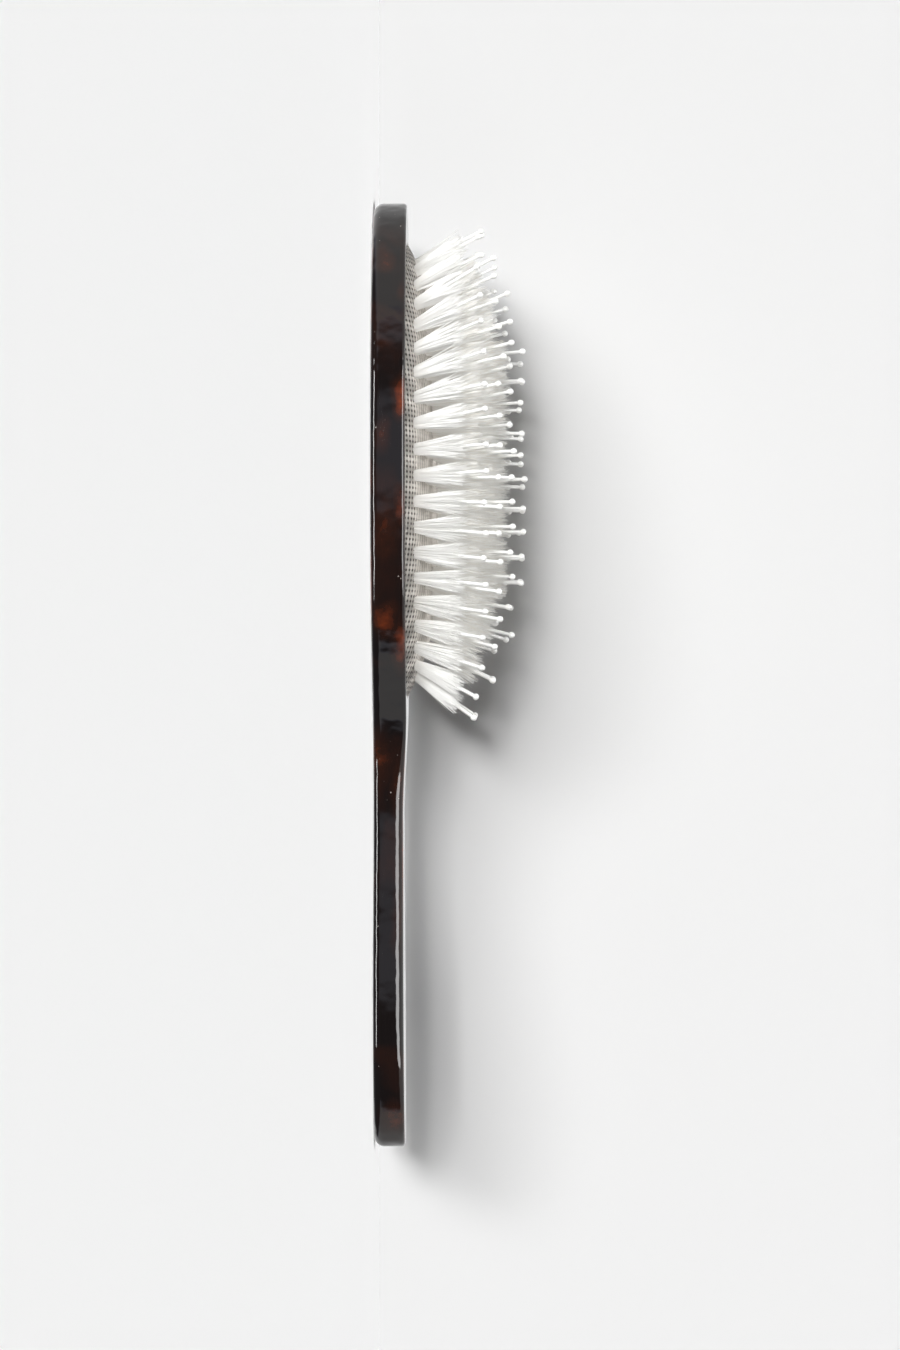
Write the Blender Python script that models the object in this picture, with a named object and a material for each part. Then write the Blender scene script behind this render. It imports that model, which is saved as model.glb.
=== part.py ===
"""Cushion hair brush: tortoiseshell acetate head and handle, rubber air cushion, woven facing, nylon tufts.

Frame: the brush lies on its flat back. X runs from the head end (-X) to the butt (+X), Z is up out of the
bristle side, and the XZ plane is its plane of symmetry. The origin is under the middle of its length.
"""
import math

import bmesh
import bpy
import numpy as np
from mathutils import Vector
from mathutils.geometry import interpolate_bezier

MM = 0.001

# Cushion: an oval dome over a pocket in the head
CUSHION_HALF_LENGTH = 55.3 * MM
CUSHION_HALF_WIDTH = 29.5 * MM
DOME_HEIGHT = 7.3 * MM
DOME_ROUNDNESS_SHARE = 0.95
FACING_THICKNESS = 1.4 * MM
MEMBRANE_THICKNESS = 1.3 * MM
POCKET_DEPTH = 5.5 * MM
BEAD_REACH = 1.4 * MM
BEAD_HEIGHT = 1.6 * MM
SEAT_GAP = 0.3 * MM
CUT_OVERRUN = 2.0 * MM

# Acetate body: its outline round the cushion, then along the handle
HEAD_END_MARGIN = 9.7 * MM
HEAD_SIDE_MARGIN = 7.0 * MM
NECK_PAST_CUSHION = 28.7 * MM
NECK_HALF_WIDTH = 10.5 * MM
NECK_TO_GRIP = 46.0 * MM
GRIP_HALF_WIDTH = 16.5 * MM
GRIP_TO_BUTT = 35.0 * MM

# Acetate body: its thickness along it, and its rounded edges
HEAD_THICKNESS = 8.0 * MM
NECK_THICKNESS = 7.1 * MM
BUTT_THICKNESS = 7.5 * MM
FLAT_PAST_CUSHION = 3.7 * MM
BACK_EDGE_RADIUS = 2.4 * MM
FRONT_EDGE_RADIUS = 0.8 * MM

# Bristle lengths, growing towards the middle of the cushion
OUTER_BRISTLE_LENGTH = 11.5 * MM
SECOND_BRISTLE_LENGTH = 13.0 * MM
THIRD_BRISTLE_LENGTH = 14.4 * MM
CENTRE_BRISTLE_LENGTH = 15.7 * MM

# Tuft rows, from the rim inwards: how far in each lies, how long its bristles are, into how many slices of
# the facing it is divided and with how many tufts each, and how far its tufts lean outwards at the sides of
# the oval, at its head end and at its handle end. The first tuft lies a share of a step off the axis.
ROW_NAMES = ("outer", "second", "third", "centre")
ROW_INSET_SHARES = (0.17, 0.407, 0.644, 0.881)
ROW_BRISTLE_LENGTHS = (OUTER_BRISTLE_LENGTH, SECOND_BRISTLE_LENGTH, THIRD_BRISTLE_LENGTH,
                       CENTRE_BRISTLE_LENGTH)
ROW_START_SHARE = 0.5
ROW_SLICES = (8, 8, 4, 2)
SLICE_TUFTS = (5, 4, 7, 10)
SIDE_LEANS_DEG = (21.0, 20.0, 18.0, 5.0)
HEAD_END_LEANS_DEG = (24.0, 26.0, 26.0, 20.0)
HANDLE_END_LEANS_DEG = (35.0, 30.0, 26.0, 20.0)
RIM_BAND_WIDTH = 1.6 * MM

# A tuft: short bristles spread along its row, and one long pin with a ball tip. The fan's half width, at
# its root and at its tip, is a share of the distance between two tufts.
PIN_OVER_BRISTLES = 5.8 * MM
PIN_RADIUS = 0.32 * MM
BALL_RADIUS = 0.78 * MM
BRISTLE_ROOT_RADIUS = 0.42 * MM
BRISTLE_TIP_RADIUS = 0.28 * MM
FAN_ROOT_SHARE = 0.18
FAN_TIP_SHARE = 0.36
BRISTLES_PER_TUFT = (3, 2, 2, 2)
PIN_SIDES = 4
BRISTLE_SIDES = 3

# Fineness of the meshes
OVAL_STATIONS = 48
HEAD_STEPS = 13
SHOULDER_STEPS = 12
GRIP_STEPS = 6
BUTT_STEPS = 11
BACK_ROUND_STEPS = 3
FRONT_ROUND_STEPS = 2
ROW_SLICE_STEPS = (2, 1, 1, 2)
ARC_SAMPLES = 2880
MERGE_DISTANCE = 0.003 * MM

# Places along the brush, from the middle of its length
HEAD_END_TO_NECK = HEAD_END_MARGIN + 2 * CUSHION_HALF_LENGTH + NECK_PAST_CUSHION
BRUSH_LENGTH = HEAD_END_TO_NECK + NECK_TO_GRIP + GRIP_TO_BUTT
HEAD_END_X = -BRUSH_LENGTH / 2
CUSHION_X = HEAD_END_X + HEAD_END_MARGIN + CUSHION_HALF_LENGTH
NECK_X = HEAD_END_X + HEAD_END_TO_NECK
GRIP_X = NECK_X + NECK_TO_GRIP
BUTT_END_X = GRIP_X + GRIP_TO_BUTT
HEAD_HALF_WIDTH = CUSHION_HALF_WIDTH + HEAD_SIDE_MARGIN
RIDGE_HALF_LENGTH = CUSHION_HALF_LENGTH - CUSHION_HALF_WIDTH
ROW_INSETS = tuple(share * CUSHION_HALF_WIDTH for share in ROW_INSET_SHARES)
ROOT_DEPTH = FACING_THICKNESS / 2


def clear_scene():
    """Remove every object, so that the file can be run again."""
    for item in list(bpy.data.objects):
        bpy.data.objects.remove(item, do_unlink=True)


def new_collection(name):
    """Return an empty collection of that name in the scene."""
    collection = bpy.data.collections.new(name)
    bpy.context.scene.collection.children.link(collection)
    return collection


def principled(name, colour, roughness):
    """Return a plain Principled material."""
    material = bpy.data.materials.new(name)
    material.use_nodes = True
    shader = material.node_tree.nodes["Principled BSDF"]
    shader.inputs["Base Color"].default_value = (*colour, 1.0)
    shader.inputs["Roughness"].default_value = roughness
    shader.inputs["Metallic"].default_value = 0.0
    return material


def mesh_object(name, bm, collection, material=None):
    """Turn a bmesh into an object of the collection, with its faces pointing out."""
    bmesh.ops.recalc_face_normals(bm, faces=bm.faces[:])
    mesh = bpy.data.meshes.new(name)
    bm.to_mesh(mesh)
    bm.free()
    if material:
        mesh.materials.append(material)
    item = bpy.data.objects.new(name, mesh)
    collection.objects.link(item)
    return item


def as_guide(item):
    """Mark an object as a cutter or an operand, which isn't a part itself."""
    item.hide_render = True
    item.display_type = "WIRE"
    return item


def boolean(item, operand, operation):
    """Add an exact Boolean with the operand."""
    modifier = item.modifiers.new(operand.name, "BOOLEAN")
    modifier.operation = operation
    modifier.object = operand
    modifier.solver = "EXACT"


def smooth(item, angle_deg=35.0):
    """Shade an object smooth, apart from its sharp edges."""
    item.data.shade_smooth()
    item.data.set_sharp_from_angle(angle=math.radians(angle_deg))


def bezier(start, start_pull, end_pull, end, steps):
    """Return the points of one Bezier stretch, without its last point."""
    points = interpolate_bezier(start, start_pull, end_pull, end, steps + 1)
    return [point.copy() for point in points[:-1]]


def half_outline():
    """Return one side of the body's outline, from the head end to the butt end, as (x, y) points.

    Four Bezier stretches: round head end, shoulder falling to the neck, grip, and round butt.
    """
    pull_share = 0.56
    shoulder_pull_share = 0.62
    neck_pull_share = 0.40
    head_end = Vector((HEAD_END_X, 0.0, 0.0))
    head = Vector((CUSHION_X, HEAD_HALF_WIDTH, 0.0))
    neck = Vector((NECK_X, NECK_HALF_WIDTH, 0.0))
    grip = Vector((GRIP_X, GRIP_HALF_WIDTH, 0.0))
    butt_end = Vector((BUTT_END_X, 0.0, 0.0))

    def along(distance):
        return Vector((distance, 0.0, 0.0))

    def across(distance):
        return Vector((0.0, distance, 0.0))

    head_run = CUSHION_X - HEAD_END_X
    shoulder_run = NECK_X - CUSHION_X
    points = bezier(head_end, head_end + across(HEAD_HALF_WIDTH * pull_share),
                    head - along(head_run * pull_share), head, HEAD_STEPS)
    points += bezier(head, head + along(shoulder_run * shoulder_pull_share),
                     neck - along(shoulder_run * neck_pull_share), neck, SHOULDER_STEPS)
    points += bezier(neck, neck + along(NECK_TO_GRIP * neck_pull_share),
                     grip - along(NECK_TO_GRIP * neck_pull_share), grip, GRIP_STEPS)
    points += bezier(grip, grip + along(GRIP_TO_BUTT * pull_share),
                     butt_end + across(GRIP_HALF_WIDTH * pull_share), butt_end, BUTT_STEPS)
    points.append(butt_end)
    return points


def body_outline():
    """Return the whole outline as an array of points, counterclockwise, and their outward normals."""
    side = half_outline()
    far_side = [Vector((p.x, -p.y, 0.0)) for p in side]
    loop = far_side + side[-2:0:-1]
    points = np.array([(p.x, p.y) for p in loop])
    tangents = np.roll(points, -1, axis=0) - np.roll(points, 1, axis=0)
    normals = np.stack([tangents[:, 1], -tangents[:, 0]], axis=1)
    normals /= np.linalg.norm(normals, axis=1)[:, None]
    return points, normals


def front_height(x):
    """Return the height of the front face at x: flat over the head, thinner at the neck, then rising."""
    flat_end_x = CUSHION_X + CUSHION_HALF_LENGTH + FLAT_PAST_CUSHION
    if x <= flat_end_x:
        return HEAD_THICKNESS
    if x <= NECK_X:
        share = (x - flat_end_x) / (NECK_X - flat_end_x)
        return HEAD_THICKNESS + (NECK_THICKNESS - HEAD_THICKNESS) * share * share * (3 - 2 * share)
    share = (x - NECK_X) / (BUTT_END_X - NECK_X)
    return NECK_THICKNESS + (BUTT_THICKNESS - NECK_THICKNESS) * share


def body_loops():
    """Return the body's loops of points from the back face up: back round, side, front round."""
    points, normals = body_outline()
    tops = np.array([front_height(x) for x in points[:, 0]])
    loops = []
    for step in range(BACK_ROUND_STEPS + 1):
        turn = math.pi / 2 * step / BACK_ROUND_STEPS
        inset = BACK_EDGE_RADIUS * (1 - math.sin(turn))
        height = BACK_EDGE_RADIUS * (1 - math.cos(turn))
        plan = points - normals * inset
        loops.append(np.column_stack([plan, np.full(len(plan), height)]))
    for step in range(FRONT_ROUND_STEPS + 1):
        turn = math.pi / 2 * step / FRONT_ROUND_STEPS
        inset = FRONT_EDGE_RADIUS * (1 - math.cos(turn))
        drop = FRONT_EDGE_RADIUS * (1 - math.sin(turn))
        plan = points - normals * inset
        loops.append(np.column_stack([plan, tops - drop]))
    return loops


def make_body(parts, cutters, acetate):
    """Loft the acetate body through its loops, then cut the cushion's pocket and its undercut."""
    bm = bmesh.new()
    rings = [[bm.verts.new(point) for point in loop] for loop in body_loops()]
    count = len(rings[0])
    for lower, upper in zip(rings, rings[1:]):
        for i in range(count):
            j = (i + 1) % count
            bm.faces.new((lower[i], lower[j], upper[j], upper[i]))
    bm.faces.new(list(reversed(rings[0])))
    front = rings[-1]
    half = count // 2
    bm.faces.new((front[0], front[1], front[-1]))
    for i in range(1, half - 1):
        bm.faces.new((front[i], front[i + 1], front[-i - 1], front[-i]))
    bm.faces.new((front[half - 1], front[half], front[half + 1]))
    body = mesh_object("handle", bm, parts, acetate)
    smooth(body)
    boolean(body, make_pocket_cutter(cutters), "DIFFERENCE")
    return body


def oval_point(inset, turn):
    """Return (x, y) on the oval that lies `inset` inside the cushion's edge, at that turn.

    The ovals keep one centre and lose the inset from both half axes, so they end in a straight ridge.
    """
    x = CUSHION_X + (CUSHION_HALF_LENGTH - inset) * math.cos(turn)
    y = (CUSHION_HALF_WIDTH - inset) * math.sin(turn)
    return x, y


def dome_rise(inset):
    """Return how far the facing stands over the front face: steep at the rim and flat at the ridge."""
    share = min(max(1 - inset / CUSHION_HALF_WIDTH, 0.0), 1.0)
    return DOME_HEIGHT * (1 - share * share) ** DOME_ROUNDNESS_SHARE


def facing_top(inset):
    """Return the height of the facing's outer surface above the back face."""
    return HEAD_THICKNESS + dome_rise(inset)


def facing_underside(inset):
    """Return the height of the facing's inner surface above the back face."""
    return facing_top(inset) - FACING_THICKNESS


def oval_turns():
    """Return the turns at which a whole oval has its points."""
    return [2 * math.pi * i / OVAL_STATIONS for i in range(OVAL_STATIONS)]


def oval_loop(bm, inset, height):
    """Add one whole oval of vertices."""
    return [bm.verts.new((*oval_point(inset, turn), height)) for turn in oval_turns()]


def bridge(bm, lower, upper):
    """Join two whole ovals with quads."""
    count = len(lower)
    for i in range(count):
        j = (i + 1) % count
        bm.faces.new((lower[i], lower[j], upper[j], upper[i]))


def bead_levels():
    """Return the lower and upper height of the membrane's edge bead."""
    upper = facing_underside(0.0) - SEAT_GAP
    return upper - BEAD_HEIGHT, upper


def make_pocket_cutter(cutters):
    """Make the pocket's shape: a straight oval wall with an undercut for the membrane's bead."""
    bead_low, bead_high = bead_levels()
    wall = -SEAT_GAP
    undercut = -(BEAD_REACH + SEAT_GAP)
    profile = (
        (wall, HEAD_THICKNESS - POCKET_DEPTH),
        (wall, bead_low - SEAT_GAP),
        (undercut, bead_low - SEAT_GAP),
        (undercut, bead_high + SEAT_GAP / 2),
        (wall, bead_high + SEAT_GAP / 2),
        (wall, HEAD_THICKNESS + CUT_OVERRUN),
    )
    bm = bmesh.new()
    loops = [oval_loop(bm, inset, height) for inset, height in profile]
    for lower, upper in zip(loops, loops[1:]):
        bridge(bm, lower, upper)
    bm.faces.new(loops[0])
    bm.faces.new(loops[-1])
    return as_guide(mesh_object("pocket_cutter", bm, cutters))


def close_over_ridge(bm, loop, height):
    """Close a surface inside an oval with quads that meet in the straight ridge line."""
    turns = oval_turns()
    half = OVAL_STATIONS // 2
    ridge = [bm.verts.new((CUSHION_X + RIDGE_HALF_LENGTH * math.cos(turns[i]), 0.0, height))
             for i in range(half + 1)]
    for i in range(OVAL_STATIONS):
        j = (i + 1) % OVAL_STATIONS
        here = ridge[min(i, OVAL_STATIONS - i)]
        there = ridge[min(j, OVAL_STATIONS - j) if j else 0]
        bm.faces.new((loop[i], loop[j], there, here))


def make_membrane(parts, rubber):
    """Make the rubber membrane: a domed skin under the facing, with a bead round its edge."""
    bead_low, bead_high = bead_levels()
    insets = [0.0] + band_edges()[1:]
    bm = bmesh.new()
    outer = [oval_loop(bm, -BEAD_REACH, bead_high)]
    outer += [oval_loop(bm, inset, facing_underside(inset) - SEAT_GAP) for inset in insets]
    inner = [oval_loop(bm, -BEAD_REACH, bead_low)]
    inner += [oval_loop(bm, MEMBRANE_THICKNESS, bead_low)]
    inner += [oval_loop(bm, inset, facing_underside(inset) - SEAT_GAP - MEMBRANE_THICKNESS)
              for inset in insets[2:]]
    for shell in (outer, inner):
        for lower, upper in zip(shell, shell[1:]):
            bridge(bm, lower, upper)
    bridge(bm, inner[0], outer[0])
    crown = facing_underside(CUSHION_HALF_WIDTH) - SEAT_GAP
    close_over_ridge(bm, outer[-1], crown)
    close_over_ridge(bm, inner[-1], crown - MEMBRANE_THICKNESS)
    membrane = mesh_object("cushion_membrane", bm, parts, rubber)
    smooth(membrane)
    return membrane


def band_edges():
    """Return the insets at which the facing is divided: rim band, then one band for each row."""
    halfway = [(a + b) / 2 for a, b in zip(ROW_INSETS, ROW_INSETS[1:])]
    return [0.0, RIM_BAND_WIDTH] + halfway


def slab(bm, turns, insets):
    """Add a slice of the facing over those turns and insets: its outer surface, thickened downwards.

    A slice that reaches the ridge has its two sides meet there.
    """
    grid = [[bm.verts.new((*oval_point(inset, turn), facing_top(inset))) for inset in insets]
            for turn in turns]
    for here, there in zip(grid, grid[1:]):
        for j in range(len(insets) - 1):
            bm.faces.new((here[j], there[j], there[j + 1], here[j + 1]))
    bmesh.ops.remove_doubles(bm, verts=bm.verts[:], dist=MERGE_DISTANCE)
    bmesh.ops.recalc_face_normals(bm, faces=bm.faces[:])
    lifted = bmesh.ops.extrude_face_region(bm, geom=bm.faces[:])
    moved = [item for item in lifted["geom"] if isinstance(item, bmesh.types.BMVert)]
    bmesh.ops.translate(bm, verts=moved, vec=(0.0, 0.0, -FACING_THICKNESS))


def make_facing_rim(parts, weave):
    """Make the facing's fixed edge, which dives into the pocket beside the membrane."""
    inner = RIM_BAND_WIDTH - SEAT_GAP / 2
    bm = bmesh.new()
    top = [oval_loop(bm, inset, facing_top(inset)) for inset in (0.0, inner / 2, inner)]
    bottom = [oval_loop(bm, inset, facing_underside(inset)) for inset in (0.0, inner / 2, inner)]
    for shell in (top, bottom):
        for lower, upper in zip(shell, shell[1:]):
            bridge(bm, lower, upper)
    bridge(bm, bottom[0], top[0])
    bridge(bm, bottom[-1], top[-1])
    rim = mesh_object("facing_rim", bm, parts, weave)
    smooth(rim)
    return rim


def walk_row(row):
    """Return turns all round a row's oval, and the distance walked along it to each."""
    inset = ROW_INSETS[row]
    turns = np.linspace(0.0, 2 * math.pi, ARC_SAMPLES + 1)
    x = (CUSHION_HALF_LENGTH - inset) * np.cos(turns)
    y = (CUSHION_HALF_WIDTH - inset) * np.sin(turns)
    walked = np.concatenate([[0.0], np.cumsum(np.hypot(np.diff(x), np.diff(y)))])
    return turns, walked


def row_pitch(row):
    """Return the distance between two tufts of a row, along the row."""
    _, walked = walk_row(row)
    return float(walked[-1]) / (ROW_SLICES[row] * SLICE_TUFTS[row])


def row_turns(row):
    """Return the turns of a row's tufts, evenly spaced along its oval, the first one off the axis."""
    turns, walked = walk_row(row)
    wanted = (np.arange(ROW_SLICES[row] * SLICE_TUFTS[row]) + ROW_START_SHARE) * row_pitch(row)
    return list(np.interp(wanted, walked, turns))


def slice_spans(row):
    """Return for each slice of a row its two bounding turns and the turns of its tufts."""
    turns = row_turns(row)
    each = SLICE_TUFTS[row]
    first = each // 2
    rolled = turns[first:] + [turn + 2 * math.pi for turn in turns[:first + 1]]
    spans = []
    before = (turns[first - 1] + turns[first]) / 2
    for number in range(ROW_SLICES[row]):
        tufts = rolled[number * each:(number + 1) * each]
        after = (tufts[-1] + rolled[(number + 1) * each]) / 2
        spans.append((before, after, tufts))
        before = after
    return spans


def slice_turns(start, end, inset):
    """Return a slice's point turns: its two ends, drawn in by half a gap, and the stations between."""
    def half_gap_turn(turn):
        speed = math.hypot((CUSHION_HALF_LENGTH - inset) * math.sin(turn),
                           (CUSHION_HALF_WIDTH - inset) * math.cos(turn))
        return SEAT_GAP / 2 / speed

    step = 2 * math.pi / OVAL_STATIONS
    first = start + half_gap_turn(start)
    last = end - half_gap_turn(end)
    margin = step / 4
    low = math.ceil((first + margin) / step)
    high = math.floor((last - margin) / step)
    return [first] + [step * i for i in range(low, high + 1)] + [last]


def lean_direction(turn, row, inset):
    """Return a tuft's direction, up and leaning outwards across its row, and the row's own direction."""
    outward = Vector(((CUSHION_HALF_WIDTH - inset) * math.cos(turn),
                      (CUSHION_HALF_LENGTH - inset) * math.sin(turn), 0.0)).normalized()
    along = Vector((-outward.y, outward.x, 0.0))
    end_share = outward.x * outward.x
    end_leans = HANDLE_END_LEANS_DEG if outward.x > 0 else HEAD_END_LEANS_DEG
    lean = math.radians(SIDE_LEANS_DEG[row] + (end_leans[row] - SIDE_LEANS_DEG[row]) * end_share)
    return Vector((0.0, 0.0, 1.0)) * math.cos(lean) + outward * math.sin(lean), along


def add_strand(bm, root, direction, sides, profile):
    """Add one straight strand: a closed loft through rings of the profile's (distance, radius) pairs."""
    across = direction.orthogonal().normalized()
    other = direction.cross(across)
    rings = []
    for distance, radius in profile:
        centre = root + direction * distance
        rings.append([bm.verts.new(centre + (across * math.cos(a) + other * math.sin(a)) * radius)
                      for a in (2 * math.pi * i / sides for i in range(sides))])
    for lower, upper in zip(rings, rings[1:]):
        for i in range(sides):
            j = (i + 1) % sides
            bm.faces.new((lower[i], lower[j], upper[j], upper[i]))
    bm.faces.new(list(reversed(rings[0])))
    bm.faces.new(rings[-1])


def pin_profile(row):
    """Return a pin's profile: a thin shaft that swells into a ball tip."""
    ball_cap_share = 0.5
    ball_centre = ROOT_DEPTH + ROW_BRISTLE_LENGTHS[row] + PIN_OVER_BRISTLES - BALL_RADIUS
    return (
        (0.0, PIN_RADIUS),
        (ball_centre - BALL_RADIUS, PIN_RADIUS),
        (ball_centre, BALL_RADIUS),
        (ball_centre + BALL_RADIUS, BALL_RADIUS * ball_cap_share),
    )


def add_tuft(bm, row, turn):
    """Add one tuft: its pin, and its bristles spread along the row in front of and behind the pin."""
    inset = ROW_INSETS[row]
    root = Vector((*oval_point(inset, turn), facing_top(inset) - ROOT_DEPTH))
    direction, along = lean_direction(turn, row, inset)
    add_strand(bm, root, direction, PIN_SIDES, pin_profile(row))
    outward = along.cross(Vector((0.0, 0.0, 1.0)))
    length = ROOT_DEPTH + ROW_BRISTLE_LENGTHS[row]
    bristle = ((0.0, BRISTLE_ROOT_RADIUS), (length, BRISTLE_TIP_RADIUS))
    spacing = FAN_ROOT_SHARE * row_pitch(row)
    spread = math.asin((FAN_TIP_SHARE - FAN_ROOT_SHARE) * row_pitch(row) / length)
    places = [(-1, 0), (1, 0), (0, 1)][:BRISTLES_PER_TUFT[row]]
    for sideways, out in places:
        foot = root + along * (sideways * spacing) + outward * (out * spacing)
        foot.z += dome_rise(inset - out * spacing) - dome_rise(inset)
        fan = along * sideways + outward * out
        way = (direction * math.cos(spread) + fan * math.sin(spread)).normalized()
        add_strand(bm, foot, way, BRISTLE_SIDES, bristle)


def make_row(row, parts, guides, nylon):
    """Make a row's nodes: slices of the facing, each with its tufts fused to it."""
    edges = band_edges() + [CUSHION_HALF_WIDTH + SEAT_GAP / 2]
    outer_edge = edges[row + 1] + SEAT_GAP / 2
    inner_edge = edges[row + 2] - SEAT_GAP / 2
    insets = list(np.linspace(outer_edge, inner_edge, ROW_SLICE_STEPS[row] + 1))
    for number, (start, end, tufts) in enumerate(slice_spans(row), start=1):
        name = f"{ROW_NAMES[row]}_tufts_{number}"
        bm = bmesh.new()
        slab(bm, slice_turns(start, end, ROW_INSETS[row]), insets)
        piece = mesh_object(name, bm, parts, nylon)
        strands = bmesh.new()
        for turn in tufts:
            add_tuft(strands, row, turn)
        operand = as_guide(mesh_object(f"{name}_strands", strands, guides))
        boolean(piece, operand, "UNION")


def build():
    """Build the whole brush."""
    clear_scene()
    parts = new_collection("hair_brush")
    guides = new_collection("cutters_and_guides")
    acetate = principled("tortoiseshell_acetate", (0.035, 0.012, 0.006), 0.12)
    rubber = principled("cushion_rubber", (0.42, 0.36, 0.28), 0.7)
    weave = principled("woven_facing", (0.62, 0.58, 0.53), 0.85)
    nylon = principled("white_nylon", (0.86, 0.86, 0.84), 0.35)
    make_body(parts, guides, acetate)
    make_membrane(parts, rubber)
    make_facing_rim(parts, weave)
    for row in range(len(ROW_INSETS)):
        make_row(row, parts, guides, nylon)


build()
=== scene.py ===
"""Looks of a cushion hair brush: tortoiseshell acetate body, rubber air cushion, woven facing, nylon tufts.

Frame: metres. The brush lies on its flat back. X runs from the head end (-X) to the butt end (+X), Y runs
across it, and Z is up out of the bristle side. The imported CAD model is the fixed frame, and each piece here
rides on one of its bodies.
"""

import logging
import math
from dataclasses import dataclass, field
from enum import Enum, IntEnum
from functools import partial
from typing import Any, Callable, Sequence

import bpy
import numpy as np
from bpy.types import Material, Node, NodeSocket, NodeTree, Object
from mathutils import Matrix, Vector


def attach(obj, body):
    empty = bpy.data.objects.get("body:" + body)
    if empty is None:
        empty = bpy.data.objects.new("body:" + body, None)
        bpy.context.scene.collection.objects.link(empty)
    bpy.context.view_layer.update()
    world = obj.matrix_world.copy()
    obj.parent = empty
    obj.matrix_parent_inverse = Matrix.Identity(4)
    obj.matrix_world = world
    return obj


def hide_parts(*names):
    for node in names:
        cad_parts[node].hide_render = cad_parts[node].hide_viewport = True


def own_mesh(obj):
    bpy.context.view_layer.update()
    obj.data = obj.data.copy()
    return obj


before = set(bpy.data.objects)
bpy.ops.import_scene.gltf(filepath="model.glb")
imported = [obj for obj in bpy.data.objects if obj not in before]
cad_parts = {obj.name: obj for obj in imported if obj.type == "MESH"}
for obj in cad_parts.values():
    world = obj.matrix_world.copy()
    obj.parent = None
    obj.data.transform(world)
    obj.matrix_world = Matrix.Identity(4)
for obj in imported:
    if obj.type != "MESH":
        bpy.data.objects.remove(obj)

log = logging.getLogger("hair_brush")
MM = 0.001
AddNode = Callable[..., Node]  # add_node with its tree given
Pair = tuple[float, float]
Triple = tuple[float, float, float]
SMOOTH = {"interpolation_type": "SMOOTHSTEP"}  # a range that eases in and out
COLOURS = {"data_type": "RGBA"}  # a Mix node for colours


class Slot(Enum):
    """The record's material slots."""

    ACETATE = "acetate"
    RUBBER = "rubber"
    FACING = "facing"
    NYLON = "nylon"


class Body(Enum):
    """The bodies that pieces ride on."""

    HANDLE = "body"
    OUTER = "outer_row"
    SECOND = "second_row"
    THIRD = "third_row"
    CENTRE = "centre_row"


class Mix(IntEnum):
    """Input numbers of a Mix node, whose inputs for numbers and for colours share their names."""

    FACTOR = 0
    NUMBER_BELOW = 2
    NUMBER_ABOVE = 3
    BELOW = 6
    ABOVE = 7


class Ramp(IntEnum):
    """The first input number of each of a Map Range node's two ranges."""

    FROM = 1
    TO = 3


def linear_colour(hex_code: str) -> tuple[float, float, float, float]:
    """Turn an sRGB hex colour into the linear colour that shaders use.

    Formula: a channel c becomes c / 12.92 up to 0.04045, and ((c + 0.055) / 1.055) to the power 2.4 above.

    Args:
        hex_code: six hex digits, with or without a leading #.

    Returns:
        Linear red, green and blue, with an alpha of 1.
    """
    digits = hex_code.lstrip("#")
    channels = [int(digits[i:i + 2], 16) / 255 for i in (0, 2, 4)]
    red, green, blue = (c / 12.92 if c <= 0.04045 else ((c + 0.055) / 1.055) ** 2.4 for c in channels)
    return red, green, blue, 1.0


def add_node(tree: NodeTree, kind: str, settings: dict[Any, Any] | None = None,
             links: dict[Any, Any] | None = None) -> Node:
    """Add a node with its settings and links.

    Args:
        tree: the node tree.
        kind: the node's type name, after "ShaderNode".
        settings: values by name. A name of the node's own property sets it, a Ramp sets both ends of the
            range, and any other name or number sets an input.
        links: what feeds an input, by the input's name or number: a socket, or a node, which then gives the
            first of its outputs that is in use.

    Returns:
        The new node.
    """
    node = tree.nodes.new("ShaderNode" + kind)
    for name, value in (settings or {}).items():
        if isinstance(name, str) and hasattr(node, name):
            setattr(node, name, value)
        elif isinstance(name, Ramp):
            node.inputs[name].default_value, node.inputs[name + 1].default_value = value
        else:
            node.inputs[name].default_value = value
    for name, source in (links or {}).items():
        if isinstance(source, Node):
            source = next(output for output in source.outputs if output.enabled)
        tree.links.new(source, node.inputs[name])
    return node


def make_material(name: str, surface: Callable[[AddNode, NodeSocket], Node]) -> Material:
    """Make a material.

    Args:
        name: the real material, and how it was worked.
        surface: builds the shader, given what adds a node and the place in object space.

    Returns:
        The new material.
    """
    material = bpy.data.materials.new(name)
    material.use_nodes = True
    tree = material.node_tree
    tree.nodes.clear()
    add = partial(add_node, tree)
    add("OutputMaterial", links={"Surface": surface(add, add("TexCoord").outputs["Object"])})
    return material


def unit(vectors: np.ndarray) -> np.ndarray:
    """Return the vectors, which lie along the last axis, with a length of 1."""
    return vectors / np.linalg.norm(vectors, axis=-1, keepdims=True)


def smoothstep(value: np.ndarray, start: float, end: float) -> np.ndarray:
    """Return s^2 (3 - 2 s), where s is the value's share of the way from start to end, held to 0 and 1."""
    share = np.clip((value - start) / (end - start), 0.0, 1.0)
    return share * share * (3 - 2 * share)


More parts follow.
